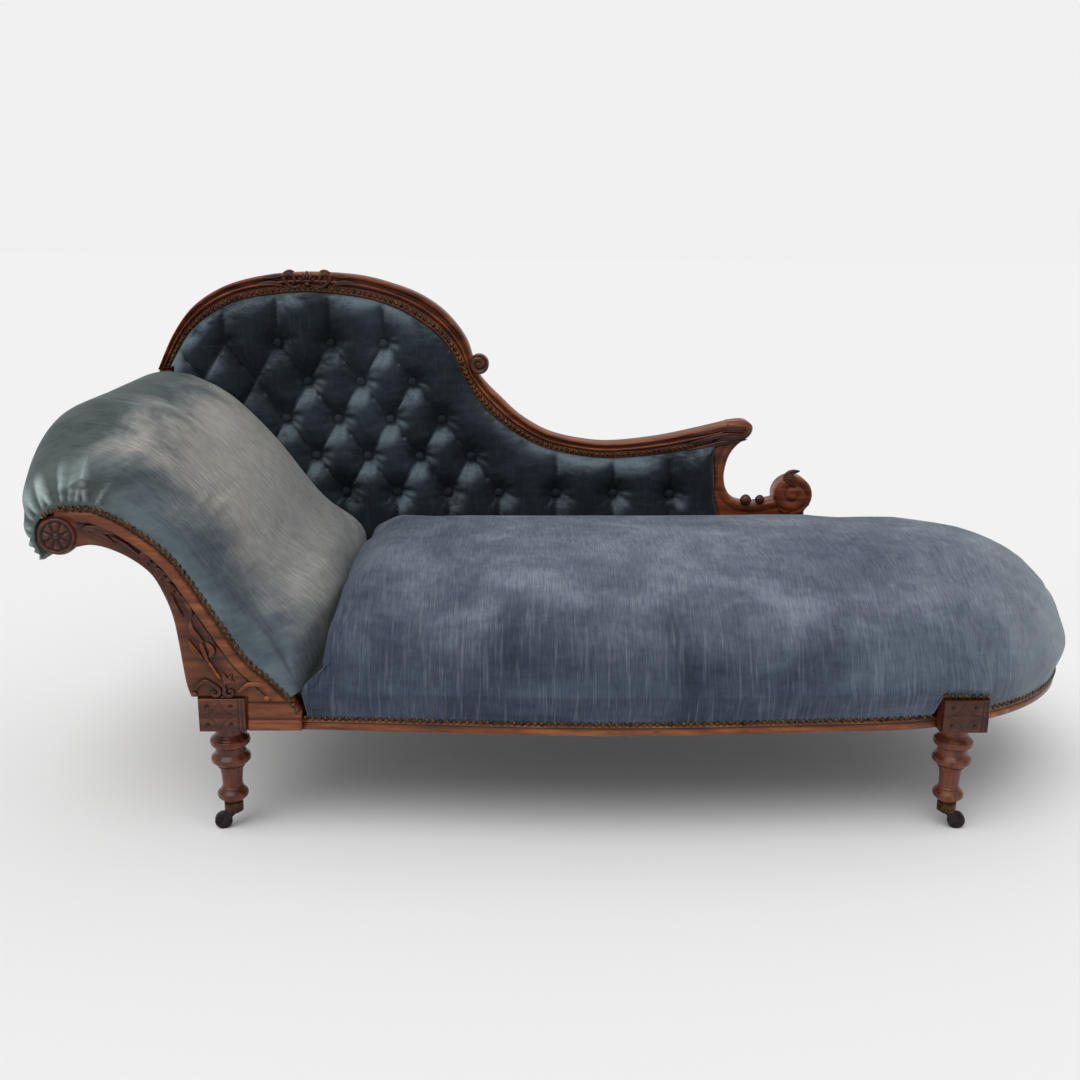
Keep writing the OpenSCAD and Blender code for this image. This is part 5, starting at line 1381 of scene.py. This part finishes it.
def makeLegRule():
    group, given = newGroup("turnedLeg", [("Place", "NodeSocketVector", (0, 0, 0)),
        ("Low", "NodeSocketFloat", 0.034), ("Top", "NodeSocketFloat", 0.193),
        ("Ring Radius", "NodeSocketFloat", 0.033), ("Rings", "NodeSocketInt", 240),
        ("Sides", "NodeSocketInt", 56), ("Block", "NodeSocketVector", (0.08, 0.072, 0.058)),
        ("Material", "NodeSocketMaterial", None)])
    foot = outOf(group, "ShaderNodeCombineXYZ", {2: given["Low"]})
    head = outOf(group, "ShaderNodeCombineXYZ", {2: given["Top"]})
    line = outOf(group, "GeometryNodeCurvePrimitiveLine", {"Start": foot, "End": head})
    fine = outOf(group, "GeometryNodeResampleCurve", {"Curve": line, "Count": given["Rings"]})
    share = addNode(group, "GeometryNodeSplineParameter").outputs["Factor"]
    profile = addNode(group, "ShaderNodeFloatCurve", {"Value": share})
    curve = profile.mapping.curves[0]
    while len(curve.points) < len(leg["profile"]):
        curve.points.new(0.5, 0.5)
    for point, (at, radius, sharp) in zip(curve.points, leg["profile"]):
        point.location = (at, radius)
        point.handle_type = "VECTOR" if sharp else "AUTO"
    profile.mapping.update()
    radius = outOf(group, "ShaderNodeMath", {0: profile.outputs[0], 1: given["Ring Radius"]},
        operation="MULTIPLY")
    circle = outOf(group, "GeometryNodeCurvePrimitiveCircle", {"Resolution": given["Sides"], "Radius": 1.0})
    turned = outOf(group, "GeometryNodeCurveToMesh", {"Curve": fine, "Profile Curve": circle, "Scale": radius,
        "Fill Caps": True})
    smooth = outOf(group, "GeometryNodeSetShadeSmooth", {0: turned})
    cube = outOf(group, "GeometryNodeMeshCube", {"Size": given["Block"]})
    half = outOf(group, "ShaderNodeVectorMath", {0: given["Block"], 1: (0, 0, 0.5)}, operation="MULTIPLY")
    middle = outOf(group, "ShaderNodeVectorMath", {0: head, 1: half}, operation="ADD")
    block = outOf(group, "GeometryNodeTransform", {"Geometry": cube, "Translation": middle})
    both = addNode(group, "GeometryNodeJoinGeometry")
    group.links.new(smooth, both.inputs[0])
    group.links.new(block, both.inputs[0])
    placed = outOf(group, "GeometryNodeTransform", {"Geometry": both.outputs[0],
        "Translation": given["Place"]})
    shown = outOf(group, "GeometryNodeSetMaterial", {"Geometry": placed, "Material": given["Material"]})
    real = outOf(group, "GeometryNodeRealizeInstances", {0: shown})
    addNode(group, "NodeGroupOutput", {0: real})
    return group


print("legs")
legRule = makeLegRule()
for end, x in (("head", couch["headLegX"]), ("foot", couch["footLegX"])):
    for side, y in (("front", couch["frontLegY"]), ("back", couch["backLegY"])):
        made = grown(f"{side}{end.title()}Leg", [(0, 0, 0)], legRule, {"Place": (x, y, 0.0),
            "Low": leg["low"], "Top": couch["railBottom"], "Ring Radius": leg["ring"],
            "Material": turnedWalnut})
        turnOutwards(made)
        finish(made, f"leg_{side}_{end}")


def stretched(piece, node):
    finish(piece, node)


print("stretched covers")
underLine = evenLine(shifted(lowLine, -0.002), 60)
underYs = np.linspace(couch["faceY"] + couch["facingThickness"], 0.2572, 40)
under = makePiece("underHeadCover", [(x, y, z) for x, z in underLine for y in underYs],
    gridFaces(len(underLine), len(underYs)), backVelvet)
finish(under, "outside_head_cover")
outsideShares = [(0.862, 0.4), (0.86, 0.26), (0.875, 0.18), (0.875, 0.01), (0.19, 0.01)]
uprightMiddle = uprightRight + (uprightLeft - uprightRight) * 0.4
outsideOutline = closedOutline([crestIn + (crestOut - crestIn) * 0.4, (armIn + (armOut - armIn) * 0.4)[1:],
    backLine(outsideShares), uprightMiddle[-2:0:-1]], 0.012)
places, faces = fillOutline(outsideOutline, 0.014)
outside = makePiece("outsideBackCover", [(x, couch["rearY"] + 0.0012, z) for x, z in places], faces,
    backVelvet)
stretched(outside, "outside_back_cover")
clothIn = 0.012
clothY = {-1: couch["sideY"] + clothIn, 1: couch["rearY"] - clothIn}
legInner = {-1: couch["frontLegY"] + couch["blockDepth"] / 2, 1: couch["backLegY"] - couch["blockDepth"] / 2}


def clothSide(side):
    nearX, farX = footBlock0 - 0.001, footBlock1 + 0.001
    inner = legInner[side] - side * 0.001
    turn = [footAt(side * a, clothIn) for a in np.linspace(90, footAngle(nearX, clothIn), 6)]
    return [(couch["headLegX"] - couch["blockWidth"] / 2 + clothIn, inner), (bowFrom + 0.001, inner),
        (bowFrom + 0.001, clothY[side]), *turn, (nearX, inner), (farX, inner), atBlock(farX, side, clothIn)]


tipAngle = footAngle(footBlock1 + 0.001, clothIn)
tip = [footAt(a, clothIn) for a in np.linspace(-tipAngle, tipAngle, 40)[1:-1]]
clothOutline = closedOutline([np.array(clothSide(-1) + tip + clothSide(1)[::-1])], 0.012)
places, faces = fillOutline(clothOutline, 0.02)
below = makePiece("bottomCloth", [(x, y, couch["railBottom"] - 0.0028) for x, y in places], faces, lining)
stretched(below, "bottom_cloth")


# What the studio shows
studio = {
    "pale": "#f1f1f1",
    "world": 0.62,
    "sun": 1.40,
    "sunSoft": 50.0,
    "sunTurn": (24, -16, 0),
    "floor": 30,
    "cameraAt": (-0.123, -2.1729, 1.0063),
    "cameraTurn": (("Z", -1.5), ("X", 90 - 14.96), ("Z", 0.72)),
    "lens": 40,
    "sensor": 36,
}


def makeStudio():
    world = bpy.data.worlds.new("studio")
    scene.world = world
    world.use_nodes = True
    tree = world.node_tree
    tree.nodes.clear()
    seen = addNode(tree, "ShaderNodeLightPath").outputs["Is Camera Ray"]
    lit = outOf(tree, "ShaderNodeBackground", {"Color": (1, 1, 1, 1), "Strength": studio["world"]})
    shown = outOf(tree, "ShaderNodeBackground", {"Color": linear(studio["pale"]), "Strength": 1.0})
    both = outOf(tree, "ShaderNodeMixShader", {0: seen, 1: lit, 2: shown})
    addNode(tree, "ShaderNodeOutputWorld", {"Surface": both})
    far = studio["floor"]
    paper = newMaterial("paleFloor", {"Base Color": linear(studio["pale"]), "Roughness": 0.9,
        "Specular IOR Level": 0.0})[0]
    corners = [(-far, -far, 0), (far, -far, 0), (far, far, 0), (-far, far, 0)]
    makePiece("floor", corners, [(0, 1, 2, 3)], paper)
    sun = bpy.data.lights.new("softSun", "SUN")
    sun.energy = studio["sun"]
    sun.angle = math.radians(studio["sunSoft"])
    lamp = bpy.data.objects.new("softSun", sun)
    lamp.rotation_euler = [math.radians(a) for a in studio["sunTurn"]]
    scene.collection.objects.link(lamp)


makeStudio()
camera = bpy.data.cameras.new("camera")
camera.lens = studio["lens"]
camera.sensor_width = studio["sensor"]
cameraObject = bpy.data.objects.new("camera", camera)
cameraObject.matrix_world = Matrix.Translation(studio["cameraAt"])
for axis, angle in studio["cameraTurn"]:
    cameraObject.matrix_world = cameraObject.matrix_world @ Matrix.Rotation(math.radians(angle), 4, axis)
scene.collection.objects.link(cameraObject)
scene.camera = cameraObject
scene.view_settings.view_transform = "Standard"

# Finishes of the solid model's own pieces, by the start of their names
finishes = (
    (turnedWalnut, ("leg_",)),
    (cupBrass, ("castor_cup",)),
    (castorIron, ("castor_fork", "castor_wheel")),
    (goldenWalnut, ("front_scroll_facing",)),
    (walnut, ("back_head_upright", "back_end_stump")),
    (carvedWalnut, ("shoulder_volute", "facing_eye", "facing_husks", "knee_scrolls", "tablet",
        "crest_carving", "arm_end_leaf", "end_scroll_leaves")),
    (beech, ("back_seat_rail", "head_seat_rail", "head_cross_rail", "corner_braces", "rear_scroll_frame",
        "head_roll_rail", "head_slats", "back_bottom_rail")),
    (hessianCloth, ("seat_webbing", "seat_canvas", "head_canvas", "back_canvas")),
    (springSteel, ("seat_springs",)),
    (backVelvet, ("outside_head_cover", "outside_back_cover", "back_buttons")),
    (lining, ("bottom_cloth",)),
    (nailBrass, ("seat_nails", "facing_nails", "back_nails")),
)
for nodeName, node in nodes.items():
    for material, starts in finishes:
        if nodeName.startswith(starts):
            node.data.materials.clear()
            node.data.materials.append(material)
